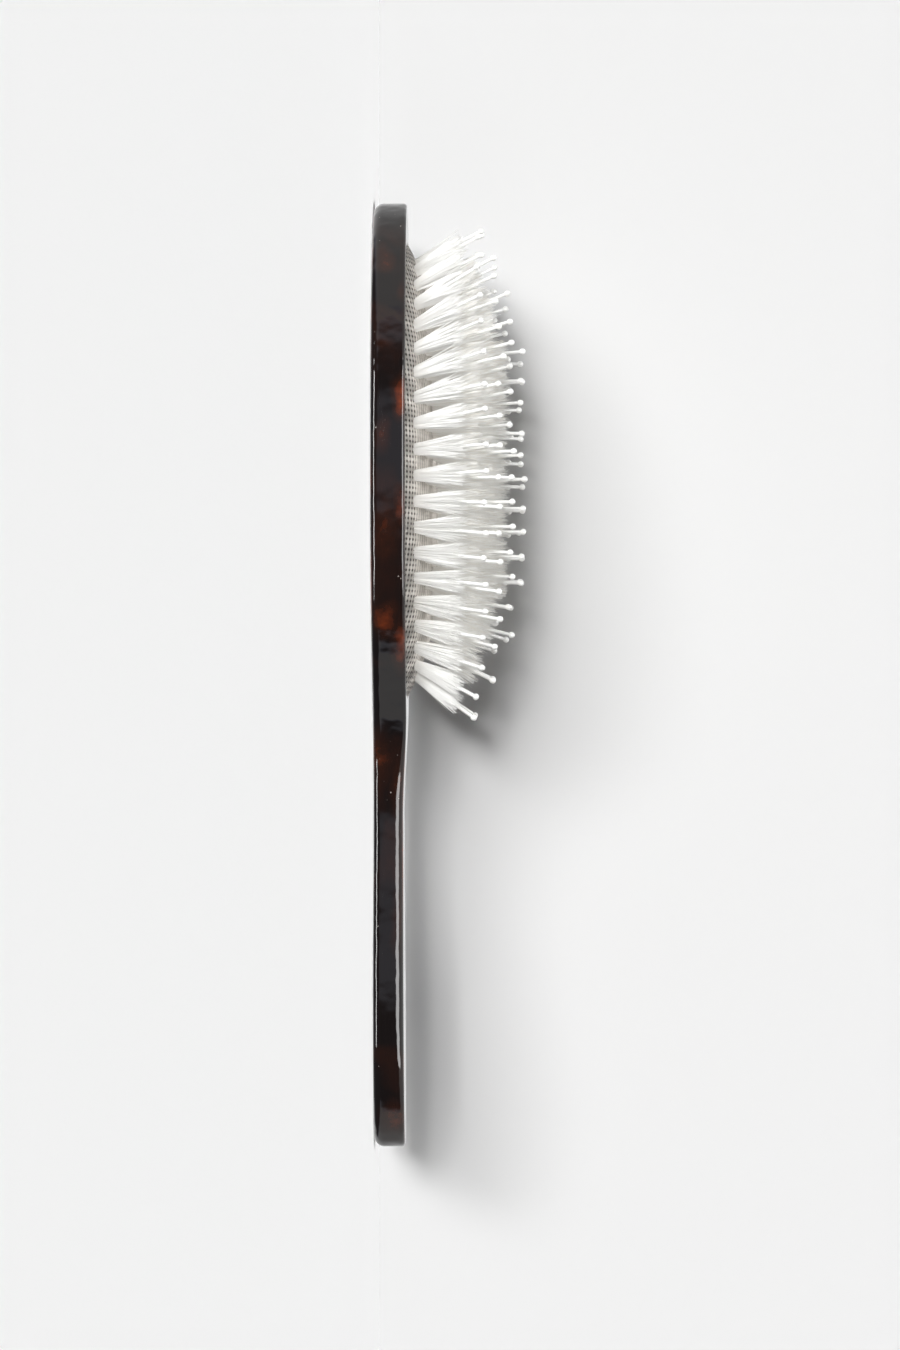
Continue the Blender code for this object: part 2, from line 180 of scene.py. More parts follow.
def make_mesh(name: str, points: np.ndarray, faces: Sequence[np.ndarray], smooth: bool = True) -> Object:
    """Put arrays of points and faces into a mesh object at the origin.

    Args:
        name: the piece's name.
        points: (n, 3) places in metres.
        faces: groups of faces, each an (m, corners) array of point numbers.
        smooth: whether light runs smoothly over the edges. Hair-thin prisms look brighter and truer flat.

    Returns:
        The new object, linked to the scene.
    """
    corners = np.concatenate([group.ravel() for group in faces])
    totals = np.concatenate([np.full(len(group), group.shape[1]) for group in faces])
    starts = np.concatenate([[0], np.cumsum(totals)[:-1]])
    mesh = bpy.data.meshes.new(name)
    mesh.vertices.add(len(points))
    mesh.vertices.foreach_set("co", points.astype(np.float32).ravel())
    mesh.loops.add(len(corners))
    mesh.loops.foreach_set("vertex_index", corners.astype(np.int32))
    mesh.polygons.add(len(totals))
    mesh.polygons.foreach_set("loop_start", starts.astype(np.int32))
    mesh.polygons.foreach_set("use_smooth", np.full(len(totals), smooth))
    mesh.update(calc_edges=True)
    mesh.validate()
    item = bpy.data.objects.new(name, mesh)
    bpy.context.scene.collection.objects.link(item)
    return item


def grid_faces(rows: int, columns: int, wrap_rows: bool = False, wrap_columns: bool = False) -> np.ndarray:
    """Return the quads of a grid of points numbered row by row.

    Args:
        rows: how many rows of points there are.
        columns: how many points a row has.
        wrap_rows: whether the last row joins the first.
        wrap_columns: whether each row is a closed ring.

    Returns:
        A (quads, 4) array of point numbers.
    """
    row = np.arange(rows if wrap_rows else rows - 1)[:, None]
    column = np.arange(columns if wrap_columns else columns - 1)[None, :]
    below, right = (row + 1) % rows, (column + 1) % columns
    quads = np.stack([row * columns + column, row * columns + right,
                      below * columns + right, below * columns + column], axis=-1)
    return quads.reshape(-1, 4)


def weld(points: np.ndarray, quads: np.ndarray) -> tuple[np.ndarray, list[np.ndarray]]:
    """Merge points that share a place, so that poles and seams close, and face the surface outwards.

    Formula: places are rounded to a tenth of a micrometre, and equal ones become one point. A quad with two
    equal neighbours becomes a triangle. Where the signed volume (a third of the sum of corner . face area
    vector) is negative, every face is turned round.

    Args:
        points: (n, 3) places in metres.
        quads: (m, 4) point numbers.

    Returns:
        The merged points, and the faces as quads and triangles.
    """
    _, first, number = np.unique(np.round(points / 1e-7).astype(np.int64), axis=0, return_index=True,
                                 return_inverse=True)
    points, quads = points[first], number.ravel()[quads]
    same = quads == np.roll(quads, -1, axis=1)
    whole = quads[~same.any(axis=1)]
    single = same.sum(axis=1) == 1
    rows, place = quads[single], same[single].argmax(axis=1)
    triangles = np.take_along_axis(rows, (place[:, None] + np.array([1, 2, 3])) % 4, axis=1)
    corner, second, third, last = (points[whole[:, i]] for i in range(4))
    if (corner * np.cross(third - corner, last - second)).sum() < 0:
        whole, triangles = whole[:, ::-1], triangles[:, ::-1]
    return points, [group for group in (whole, triangles) if len(group)]


def carry_rings(centres: np.ndarray, ways: np.ndarray, sides_line: np.ndarray, radii: np.ndarray,
                sides: int) -> tuple[np.ndarray, list[np.ndarray]]:
    """Carry a ring of points along many paths at once, with both ends closed.

    Formula: point = centre + radius * (a * cos(turn) + b * sin(turn)), where a is the side line made square
    to the strand's way, and b = way x a.

    Args:
        centres: (strands, rings, 3) ring centres.
        ways: (strands, 3) unit vectors along each strand.
        sides_line: (strands, 3) vectors that aren't along the strand.
        radii: (strands, rings) ring radii.
        sides: how many points a ring has.

    Returns:
        The points, and the faces as walls and end caps.
    """
    strands, rings = centres.shape[:2]
    across = unit(sides_line - ways * (sides_line * ways).sum(axis=-1, keepdims=True))
    other = np.cross(ways, across)
    turns = (2 * np.pi * np.arange(sides) / sides)[:, None]
    spokes = across[:, None, None] * np.cos(turns) + other[:, None, None] * np.sin(turns)
    points = centres[:, :, None, :] + spokes * radii[:, :, None, None]
    walls = grid_faces(rings, sides, wrap_columns=True)
    firsts = (np.arange(strands) * rings * sides)[:, None]
    roots = firsts + np.arange(sides)[::-1]
    tips = firsts + (rings - 1) * sides + np.arange(sides)
    return points.reshape(-1, 3), [(firsts[:, :, None] + walls).reshape(-1, 4), np.concatenate([roots, tips])]


def store(item: Object, name: str, values: np.ndarray) -> None:
    """Keep one number for each point of a mesh as a named attribute."""
    layer = item.data.attributes.new(name, "FLOAT", "POINT")
    layer.data.foreach_set("value", values.astype(np.float32).ravel())


def dress(item: Object, material: Material, slot: Slot, body: Body, nodes: Sequence[str]) -> Object:
    """Give a finished piece its material, and tie it to the frame.

    Args:
        item: the piece, with its place in its mesh.
        material: its finish.
        slot: the record's material slot that the finish stands for; not used.
        body: the CAD body that it rides on.
        nodes: the CAD nodes that it replaces.

    Returns:
        The same piece.
    """
    item.data.materials.clear()
    item.data.materials.append(material)
    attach(item, body.value)
    if nodes:
        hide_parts(*nodes)
    item.data.calc_loop_triangles()
    log.info("%s: %d triangles on %s", item.name, len(item.data.loop_triangles), body.value)
    return item


# Finishes. Each one's sizes are in millimetres, and a ramp runs from its first value to its second.


@dataclass(frozen=True)
class AmberPatch:
    """A place where the amber of the sheet shows: centre and reach in millimetres, and how strongly."""

    centre: Triple
    reach: Triple
    strength: float


@dataclass(frozen=True)
class TortoiseshellAcetate:
    """Cellulose acetate sheet, mottled through its thickness, cut, tumbled and buffed to a deep gloss.

    The eye sees near-black with soft red-brown to amber clouds 10 to 15 mm across, mirror-like reflections
    that waver where buffing left the surface uneven, and a few dust-sized dents of pitting, painted pale
    grey as glints of light. The clouds lie in flat leaves, so the cut edge shows only the ends of a few.
    `shades` has the shades that the dark turns to as the clouds thin, each with the range of the clouds over
    which it comes in.
    """

    dark: str = "#130E0D"
    shades: tuple[tuple[str, float, float], ...] = (
        ("#2A150D", 0.0, 0.34), ("#5C2813", 0.34, 0.7), ("#8C3C18", 0.7, 1.0))
    # pale grey painted into the pitting as a glint of light
    pit_glint: str = "#8E8680"
    roughness: float = 0.07
    roughest: float = 1.8
    smear_mm: float = 6.0
    smear_ramp: Pair = (0.4, 0.75)
    ior: float = 1.49
    cloud_mm: float = 13.0
    cloud_stretch: Triple = (0.62, 1.0, 1.0)
    cloud_shift: Triple = (0.031, 0.017, 0.009)
    cloud_ramp: Pair = (0.49, 0.68)
    strongest_cloud: float = 0.85
    edge_share: float = 0.2
    warp_every_mm: float = 9.0
    warp_mm: Triple = (12.0, 6.0, 5.0)
    patch_ramp: Pair = (1.3, 0.1)
    fray_mm: float = 1.6
    fray_share: Pair = (0.75, 1.2)
    flat_ramp: Pair = (0.80, 0.98)
    wave_mm: float = 4.6
    wave_depth_mm: float = 0.4
    wave_on_edge: float = 0.9
    wave_on_flats: float = 0.12
    pit_spacing_mm: float = 1.5
    pit_depth_mm: float = 0.05
    pit_ramp: Pair = (0.13, 0.08)
    pit_from_shade: float = 0.6
    pit_group_mm: float = 11.0
    pit_group_ramp: Pair = (0.56, 0.64)
    patches: tuple[AmberPatch, ...] = (
        AmberPatch((-98.5, -26.0, 2.8), (4.0, 5.0, 3.0), 0.40),
        AmberPatch((-92.0, -31.0, 7.6), (5.0, 4.0, 1.8), 0.35),
        AmberPatch((-79.0, -34.5, 2.8), (4.0, 4.0, 3.0), 0.35),
        AmberPatch((-64.5, -36.5, 7.4), (6.5, 4.0, 2.8), 0.80),
        AmberPatch((-56.5, -36.5, 2.4), (6.0, 4.0, 2.2), 0.36),
        AmberPatch((-39.0, -36.2, 7.0), (6.5, 4.0, 2.6), 0.45),
        AmberPatch((-33.5, -36.0, 3.4), (13.0, 5.0, 3.6), 0.38),
        AmberPatch((-13.0, -32.5, 2.6), (6.0, 6.0, 4.2), 0.75),
        AmberPatch((-4.0, -29.5, 6.6), (13.0, 6.0, 2.6), 0.85),
        AmberPatch((20.0, -12.0, 1.6), (11.0, 5.0, 3.5), 0.42),
        AmberPatch((27.0, -12.0, 6.4), (8.0, 5.0, 3.0), 0.45),
        AmberPatch((58.0, -14.0, 6.6), (10.0, 5.0, 2.6), 0.34),
        AmberPatch((106.5, -9.0, 5.2), (7.0, 8.0, 4.0), 0.42),
    )

    def material(self) -> Material:
        """Build it from clouds, named patches, buffing waves and pitting with painted glints, all in object
        space.
        """
        return make_material("tortoiseshell_acetate_buffed", self._surface)

    def _surface(self, add: AddNode, place: NodeSocket) -> Node:
        """Paint the pitting's glints over the mottled colour, and put buffing waves and the pitting into the
        gloss.

        Args:
            add: adds a node to the material.
            place: the place in object space.

        Returns:
            The shader.
        """
        pits_and_glints = self._pits_and_glints(add, place)
        # painted glint: the pitting takes a pale grey that stands in for light caught in each dent
        colour = add("Mix", {**COLOURS, Mix.ABOVE: linear_colour(self.pit_glint)},
                     {Mix.FACTOR: pits_and_glints, Mix.BELOW: self._colour(add, self._clouds(add, place))})
        smears = add("TexNoise", {"Scale": 1 / (self.smear_mm * MM), "Detail": 3.0}, {"Vector": place})
        rough = add("MapRange",
                    {Ramp.FROM: self.smear_ramp, Ramp.TO: (self.roughness, self.roughness * self.roughest)},
                    {"Value": smears})
        waves = add("TexNoise", {"Scale": 1 / (self.wave_mm * MM), "Detail": 1.5, "Roughness": 0.4},
                    {"Vector": place})
        wavy = add("MapRange", {Ramp.TO: (self.wave_on_edge, self.wave_on_flats)},
                   {"Value": self._flats(add)})
        bump = add("Bump", {"Distance": self.wave_depth_mm * MM}, {"Strength": wavy, "Height": waves})
        bump = add("Bump", {"Strength": 0.6, "Distance": self.pit_depth_mm * MM, "invert": True},
                   {"Height": pits_and_glints, "Normal": bump})
        return add("BsdfPrincipled", {"IOR": self.ior},
                   {"Base Color": colour, "Roughness": rough, "Normal": bump})

    def _clouds(self, add: AddNode, place: NodeSocket) -> Node:
        """Work out how amber each place is.

        Formula: smoothstep of a distorted noise, or for each patch strength * smoothstep(1 - distance in
        reaches), whichever is more. The places are first shifted by up to half the warp, so that no patch
        keeps an even outline, and finer noise frays the edges.

        Args:
            add: adds a node to the material.
            place: the place in object space.

        Returns:
            The amber's share, from 0 for dark to 1 for orange.
        """
        warp = add("TexNoise", {"Scale": 1 / (self.warp_every_mm * MM), "Detail": 1.0, "Roughness": 0.5},
                   {"Vector": place})
        centred = add("VectorMath", {"operation": "SUBTRACT", 1: (0.5, 0.5, 0.5)}, {0: warp.outputs["Color"]})
        shift = add("VectorMath", {"operation": "MULTIPLY", 1: [w * MM for w in self.warp_mm]}, {0: centred})
        warped = add("VectorMath", {"operation": "ADD"}, {0: place, 1: shift})
        stretched = add("Mapping", {"Scale": self.cloud_stretch, "Location": self.cloud_shift},
                        {"Vector": place})
        noise = add("TexNoise",
                    {"Scale": 1 / (self.cloud_mm * MM), "Detail": 2.2, "Roughness": 0.45, "Distortion": 0.7},
                    {"Vector": stretched})
        broad = add("MapRange", {**SMOOTH, Ramp.FROM: self.cloud_ramp, "To Max": self.strongest_cloud},
                    {"Value": noise})
        total = add("Math", {"operation": "MULTIPLY"}, {0: broad, 1: self._flats(add)})
        for patch in self.patches:
            away = add("VectorMath", {"operation": "SUBTRACT", 1: [c * MM for c in patch.centre]},
                       {0: warped})
            shares = add("VectorMath", {"operation": "DIVIDE", 1: [r * MM for r in patch.reach]}, {0: away})
            distance = add("VectorMath", {"operation": "LENGTH"}, {0: shares})
            mask = add("MapRange", {**SMOOTH, Ramp.FROM: self.patch_ramp, "To Max": patch.strength},
                       {"Value": distance})
            total = add("Math", {"operation": "MAXIMUM"}, {0: total, 1: mask})
        fray = add("TexNoise", {"Scale": 1 / (self.fray_mm * MM), "Detail": 3.0}, {"Vector": place})
        frayed = add("MapRange", {Ramp.FROM: (0.3, 0.7), Ramp.TO: self.fray_share}, {"Value": fray})
        return add("Math", {"operation": "MULTIPLY", "use_clamp": True}, {0: total, 1: frayed})

    def _flats(self, add: AddNode) -> Node:
        """Tell the sheet's two flat faces from its cut edge.

        Formula: how upright the surface's own normal is, as a smoothstep over the rounded edges.

        Args:
            add: adds a node to the material.

        Returns:
            1 on the flat faces, and the edge share on the cut edge.
        """
        normal = add("TexCoord").outputs["Normal"]
        height = add("SeparateXYZ", links={"Vector": normal}).outputs["Z"]
        upright = add("Math", {"operation": "ABSOLUTE"}, {0: height})
        return add("MapRange", {**SMOOTH, Ramp.FROM: self.flat_ramp, "To Min": self.edge_share},
                   {"Value": upright})

    def _colour(self, add: AddNode, clouds: Node) -> Node:
        """Colour the sheet: dark, then brown, amber and orange as the clouds thin.

        Args:
            add: adds a node to the material.
            clouds: how amber each place is.

        Returns:
            The sheet's colour.
        """
        colour: Node | None = None
        for shade, start, end in self.shades:
            share = add("MapRange", {Ramp.FROM: (start, end)}, {"Value": clouds})
            colour = add("Mix",
                         {**COLOURS, Mix.BELOW: linear_colour(self.dark), Mix.ABOVE: linear_colour(shade)},
                         {Mix.FACTOR: share} | ({Mix.BELOW: colour} if colour else {}))
        return colour

    def _pits_and_glints(self, add: AddNode, place: NodeSocket) -> Node:
        """Scatter dust-sized pitting, gathered in a few places: dents that also carry a painted glint.

        Formula: 1 within a tenth of a cell of a cell's centre, in cells whose random shade is high, where a
        broad noise is high.

        Args:
            add: adds a node to the material.
            place: the place in object space.

        Returns:
            1 at a dent of the pitting, and 0 elsewhere.
        """
        cells = add("TexVoronoi", {"Scale": 1 / (self.pit_spacing_mm * MM)}, {"Vector": place})
        spot = add("MapRange", {Ramp.FROM: self.pit_ramp}, {"Value": cells})
        chosen = add("Math", {"operation": "GREATER_THAN", 1: self.pit_from_shade},
                     {0: cells.outputs["Color"]})
        broad = add("TexNoise", {"Scale": 1 / (self.pit_group_mm * MM), "Detail": 1.0}, {"Vector": place})
        gathered = add("MapRange", {Ramp.FROM: self.pit_group_ramp}, {"Value": broad})
        some = add("Math", {"operation": "MULTIPLY"}, {0: spot, 1: chosen})
        return add("Math", {"operation": "MULTIPLY"}, {0: some, 1: gathered})


@dataclass(frozen=True)
class WovenFacing:
    """Undyed cotton in an open plain weave, rubber-backed and stretched over the cushion.

    The eye sees pale greige threads that cross about every millimetre, with small holes at the crossings'
    corners that are painted dark as shade, and a soft matt surface. The holes are open where the cloth is
    pulled down at the rim and close up over the dome, where the thicker threads along the brush stand out as
    ribs, with painted shade in the gaps beside them.
    """

    thread: str = "#DFD9D2"
    # the colour painted into the holes as shade
    hole_shade: str = "#463F39"
    pitch_mm: Pair = (1.2, 1.4)
    wobble_every_mm: float = 5.0
    wobble_mm: float = 0.25
    open_from_mm: float = 11.2
    open_to_mm: float = 9.9
    closed_share: float = 0.3
    hole_ramp: Pair = (0.42, 0.82)
    rib_from: float = 0.75
    rib_shade: float = 0.35
    fibre_mm: float = 0.35
    fibre_height: float = 0.3
    thread_depth_mm: float = 0.22
    roughness: float = 0.85
    sheen: float = 0.15

    def material(self) -> Material:
        """Build the weave as a pattern that is seen from above: holes on a square net, threads between."""
        return make_material("cotton_weave_on_rubber", self._surface)

    def _surface(self, add: AddNode, place: NodeSocket) -> Node:
        """Draw the weave as painted shade and bump.

        Formula: |sin(pi * place / pitch)| is 0 on a thread's middle and 1 in the gap beside it. The holes lie
        where two gaps meet, and painted shade darkens them and the gaps beside the ribs.

        Args:
            add: adds a node to the material.
            place: the place in object space.

        Returns:
            The shader.
        """
        wobble = add("TexNoise", {"Scale": 1 / (self.wobble_every_mm * MM), "Detail": 2.0}, {"Vector": place})
        shift = add("VectorMath", {"operation": "SCALE", "Scale": self.wobble_mm * MM},
                    {0: wobble.outputs["Color"]})
        cloth = add("VectorMath", {"operation": "ADD"}, {0: place, 1: shift})
        parts = add("SeparateXYZ", links={"Vector": cloth})
        gaps = []
        for axis, pitch in zip(("X", "Y"), self.pitch_mm):
            turn = add("Math", {"operation": "MULTIPLY", 1: math.pi / (pitch * MM)}, {0: parts.outputs[axis]})
            wave = add("Math", {"operation": "SINE"}, {0: turn})
            gaps.append(add("Math", {"operation": "ABSOLUTE"}, {0: wave}))
        hollow = add("Math", {"operation": "MULTIPLY"}, {0: gaps[0], 1: gaps[1]})
        open_holes = add("MapRange",
                         {**SMOOTH, Ramp.FROM: (self.open_from_mm * MM, self.open_to_mm * MM),
                          "To Min": self.closed_share}, {"Value": parts.outputs["Z"]})
        deep = add("MapRange", {**SMOOTH, Ramp.FROM: self.hole_ramp}, {"Value": hollow})
        hole_shade = add("Math", {"operation": "MULTIPLY"}, {0: deep, 1: open_holes})
        shade_beside_rib = add("MapRange", {"From Min": self.rib_from, "To Max": self.rib_shade},
                         {"Value": gaps[1]})
        fibres = add("TexNoise", {"Scale": 1 / (self.fibre_mm * MM), "Detail": 3.0}, {"Vector": place})
        # painted shade: dark in the holes and lighter in the gaps beside the ribs
        shade = add("Math", {"operation": "MAXIMUM"}, {0: hole_shade, 1: shade_beside_rib})
        colour = add("Mix",
                     {**COLOURS, Mix.BELOW: linear_colour(self.thread), Mix.ABOVE: linear_colour(self.hole_shade)},
                     {Mix.FACTOR: shade})
        height = add("Math", {"operation": "MULTIPLY_ADD", 1: self.fibre_height}, {0: fibres, 2: gaps[1]})
        bump = add("Bump", {"Strength": 0.7, "Distance": self.thread_depth_mm * MM, "invert": True},
                   {"Height": height})
        return add("BsdfPrincipled", {"Roughness": self.roughness, "Sheen Weight": self.sheen},
                   {"Base Color": colour, "Normal": bump})


@dataclass(frozen=True)
class MouldedRubber:
    """Natural latex rubber, moulded and dusted with talc: dull buff with faint clouding."""

    buff: str = "#B09F83"
    clouded: str = "#9C8B70"
    roughness: float = 0.7
    cloud_mm: float = 8.0
    grain_mm: float = 0.4
    grain_depth_mm: float = 0.04

    def material(self) -> Material:
        """Build the rubber with broad clouding and a fine moulded grain."""
        return make_material("natural_rubber_moulded", self._surface)

    def _surface(self, add: AddNode, place: NodeSocket) -> Node:
        """Mix the two shades of buff by broad clouding, and put the moulded grain into a bump.

        Args:
            add: adds a node to the material.
            place: the place in object space.

        Returns:
            The shader.
        """
        clouds = add("TexNoise", {"Scale": 1 / (self.cloud_mm * MM), "Detail": 3.0}, {"Vector": place})
        grain = add("TexNoise", {"Scale": 1 / (self.grain_mm * MM), "Detail": 2.0}, {"Vector": place})
        colour = add("Mix",
                     {**COLOURS, Mix.BELOW: linear_colour(self.buff), Mix.ABOVE: linear_colour(self.clouded)},
                     {Mix.FACTOR: clouds})
        bump = add("Bump", {"Strength": 0.3, "Distance": self.grain_depth_mm * MM}, {"Height": grain})
        return add("BsdfPrincipled", {"Roughness": self.roughness}, {"Base Color": colour, "Normal": bump})


@dataclass(frozen=True)
class Nylon:
    """White nylon, drawn as bristle or moulded as pins: bright, satin and translucent, with a painted glow.

    The eye sees clean white, painted a little greyer towards the root as shade where less light comes in,
    with fine marks along its length. Some strands are a shade creamier than others, which shows as fine
    streaks. White strands pass light on to each other dozens of times, and a painted glow, an emission,
    stands for the part of it that the few traced bounces leave out.
    """

    name: str
    white: str
    cream: str
    # painted shade: the grey at the root, where less light reaches in among the strands
    root: str
    roughness: float
    glow: float
    scatter_mm: float
    # painted glow: an emission that stands for light the strands pass to each other
    painted_bounce_glow: float
    ior: float = 1.53
    mark_mm: float = 0.5
    mark_share: Pair = (0.8, 1.3)
    root_shade_reach: float = 0.45

    def material(self) -> Material:
        """Build the nylon from each strand's `reach`, 0 at the root and 1 at the tip, and its `tint`."""
        return make_material(self.name, self._surface)

    def _surface(self, add: AddNode, place: NodeSocket) -> Node:
        """Paint shade from root to tip and a glow on the strand, make it creamier by its tint, and mark its
        gloss.

        Args:
            add: adds a node to the material.
            place: the place in object space.

        Returns:
            The shader.
        """
        reach, tint = (add("Attribute", {"attribute_name": name}).outputs["Fac"]
                       for name in ("reach", "tint"))
        # painted shade: grey at the root, fading to white along the strand
        share = add("MapRange", {"From Max": self.root_shade_reach}, {"Value": reach})
        marks = add("TexNoise", {"Scale": 1 / (self.mark_mm * MM), "Detail": 2.0}, {"Vector": place})
        colour = add("Mix",
                     {**COLOURS, Mix.BELOW: linear_colour(self.root), Mix.ABOVE: linear_colour(self.white)},
                     {Mix.FACTOR: share})
        colour = add("Mix", {**COLOURS, Mix.ABOVE: linear_colour(self.cream)},
                     {Mix.FACTOR: tint, Mix.BELOW: colour})
        rough = add("MapRange",
                    {Ramp.TO: (self.roughness * self.mark_share[0], self.roughness * self.mark_share[1])},
                    {"Value": marks})
        # the emission is a painted glow for light passed between strands
        return add("BsdfPrincipled",
                   {"IOR": self.ior, "Emission Color": linear_colour(self.white),
                    "Emission Strength": self.painted_bounce_glow, "Subsurface Weight": self.glow,
                    "Subsurface Scale": self.scatter_mm * MM, "Subsurface Radius": (1.0, 1.0, 1.0)},
                   {"Base Color": colour, "Roughness": rough})


# The brush


@dataclass
class AcetateBody:
    """Handle and head in one piece: a plan outline, rounded at its edges, with the cushion's pocket."""

    finish: TortoiseshellAcetate = TortoiseshellAcetate()
    head_end: float = -115.0 * MM
    cushion_x: float = -50.0 * MM
    head_half_width: float = 36.5 * MM
    neck: Pair = (34.0 * MM, 10.5 * MM)
    grip: Pair = (80.0 * MM, 16.5 * MM)
    butt_end: float = 115.0 * MM
    flat_end: float = 9.0 * MM
    head_thickness: float = 8.0 * MM
    neck_thickness: float = 7.1 * MM
    butt_thickness: float = 7.5 * MM
    back_radius: float = 2.4 * MM
    front_radius: float = 0.8 * MM
    grip_front_radius: float = 2.2 * MM
    round_pull: float = 0.56
    shoulder_pulls: Pair = (0.62, 0.40)
    grip_pull: float = 0.40
    steps: tuple[int, ...] = (110, 150, 80, 70)
    cap_steps: int = 26
    front_steps: int = 7
    back_steps: int = 13
    wall_steps: int = 7
    sharp_from_deg: float = 30.0

    def side_line(self) -> tuple[np.ndarray, np.ndarray]:
        """Work out one side of the outline and its outward normals.

        Formula: four Bezier stretches, (1-t)^3 A + 3(1-t)^2 t B + 3(1-t) t^2 C + t^3 D. The normal is the
        tangent turned a quarter turn to the left.

        Returns:
            (n, 2) places from the head end to the butt end, and (n, 2) unit normals.
        """
        head, neck, grip = (self.cushion_x, self.head_half_width), self.neck, self.grip
        shoulder, grip_run = neck[0] - head[0], grip[0] - neck[0]
        butt_run, head_run = self.butt_end - grip[0], head[0] - self.head_end
        stretches = np.array([
            [(self.head_end, 0.0), (self.head_end, head[1] * self.round_pull),
             (head[0] - head_run * self.round_pull, head[1]), head],
            [head, (head[0] + shoulder * self.shoulder_pulls[0], head[1]),
             (neck[0] - shoulder * self.shoulder_pulls[1], neck[1]), neck],
            [neck, (neck[0] + grip_run * self.grip_pull, neck[1]),
             (grip[0] - grip_run * self.grip_pull, grip[1]), grip],
            [grip, (grip[0] + butt_run * self.round_pull, grip[1]),
             (self.butt_end, grip[1] * self.round_pull), (self.butt_end, 0.0)],
        ])
        places, ways = [], []
        for number, (corners, steps) in enumerate(zip(stretches, self.steps)):
            t = np.linspace(0.0, 1.0, steps + 1)[:, None]
            t = t if number == len(self.steps) - 1 else t[:-1]
            a, b, c, d = corners
            places.append((1 - t) ** 3 * a + 3 * (1 - t) ** 2 * t * b + 3 * (1 - t) * t ** 2 * c + t ** 3 * d)
            ways.append((1 - t) ** 2 * (b - a) + 2 * (1 - t) * t * (c - b) + t ** 2 * (d - c))
        way = np.concatenate(ways)
        return np.concatenate(places), unit(np.column_stack([-way[:, 1], way[:, 0]]))

    def front_height(self, x: np.ndarray) -> np.ndarray:
        """Work out the front face's height: flat over the head, a smoothstep down to the neck, then rising.

        Args:
            x: places along the brush.

        Returns:
            The height at each place.
        """
        drop = (self.head_thickness - self.neck_thickness) * smoothstep(x, self.flat_end, self.neck[0])
        rise = np.clip((x - self.neck[0]) / (self.butt_end - self.neck[0]), 0.0, 1.0)
        return self.head_thickness - drop + (self.butt_thickness - self.neck_thickness) * rise

    def front_edge(self, x: np.ndarray) -> np.ndarray:
        """Return the front edge's radius: the head's, a smoothstep up to the grip's, and back at the butt."""
        share = smoothstep(x, self.flat_end, self.neck[0]) * (1 - smoothstep(x, self.grip[0], self.butt_end))
        return self.front_radius + (self.grip_front_radius - self.front_radius) * share

    def surface(self) -> tuple[np.ndarray, list[np.ndarray]]:
        """Work out the closed surface: a cross-section ring at each place along the outline.

        Formula: down one side, inset = r(1 - cos a) and drop = r(1 - sin a) round the front edge, a straight
        wall, inset = R(1 - cos b) and height = R(1 - sin b) round the back edge. Each side's points stand
        the inset inside the outline, along its normal, and the flat faces run straight across.

        Returns:
            The points, and the faces as quads and triangles.
        """
        line, normals = self.side_line()
        front = np.linspace(np.pi / 2, 0.0, self.front_steps)
        back = np.linspace(0.0, np.pi / 2, self.back_steps)
        wall = np.linspace(0.0, 1.0, self.wall_steps)[1:-1]
        radius = self.front_edge(line[:, 0])[:, None]
        top = self.front_height(line[:, 0])[:, None]
        wall_top = top - radius
        all_along = (len(line), len(back))
        insets = np.concatenate([
            radius * (1 - np.cos(front)), np.zeros((len(line), len(wall))),
            np.broadcast_to(self.back_radius * (1 - np.cos(back)), all_along)], axis=1)
        heights = np.concatenate([
            top - radius * (1 - np.sin(front)), wall_top + (self.back_radius - wall_top) * wall,
            np.broadcast_to(self.back_radius * (1 - np.sin(back)), all_along)], axis=1)
        plan = line[:, None, :] - normals[:, None, :] * insets[:, :, None]
        near = np.concatenate([plan, heights[:, :, None]], axis=2)
        far = near * np.array([1.0, -1.0, 1.0])
        share = np.linspace(0.0, 1.0, self.cap_steps + 1)[1:-1, None]
        back_cap = near[:, -1:, :] * (1 - share) + far[:, -1:, :] * share
        front_cap = far[:, :1, :] * (1 - share) + near[:, :1, :] * share
        rings = np.concatenate([near, back_cap, far[:, ::-1, :], front_cap], axis=1)
        return weld(rings.reshape(-1, 3), grid_faces(*rings.shape[:2], wrap_columns=True))

    def build(self, cushion: "Cushion") -> Object:
        """Make the body, cut the pocket into it and dress it.

        Args:
            cushion: the cushion that the pocket takes.

        Returns:
            The finished piece.
        """
        item = make_mesh("acetate_body", *self.surface())
        cutter = cushion.pocket_cutter()
        modifier = item.modifiers.new("pocket", "BOOLEAN")
        modifier.operation = "DIFFERENCE"
        modifier.object = cutter
        graph = bpy.context.evaluated_depsgraph_get()
        mesh = bpy.data.meshes.new_from_object(item.evaluated_get(graph))
        item.modifiers.clear()
        item.data = mesh
        bpy.data.objects.remove(cutter, do_unlink=True)
        mesh.shade_smooth()
        mesh.set_sharp_from_angle(angle=math.radians(self.sharp_from_deg))
        return dress(item, self.finish.material(), Slot.ACETATE, Body.HANDLE, ["handle"])


@dataclass(frozen=True)
class RowPlan:
    """One oval row of tufts: where it lies, how many it has, how long they are and how they lean.

    `inset_share` is its place from 0 at the rim to 1 at the ridge, and `slices` how many CAD nodes it
    replaces. The leans are the sides', the head end's and the handle end's. `loose` runs from 0, neat fans
    with gaps between, to 1, fans that spread and stray into each other.
    """

    name: str
    body: Body
    inset_share: float
    tufts: int
    slices: int
    bristle_length: float
    leans_deg: Triple
    head_splay: float
    loose: float
    pin_over: float
    seed: int


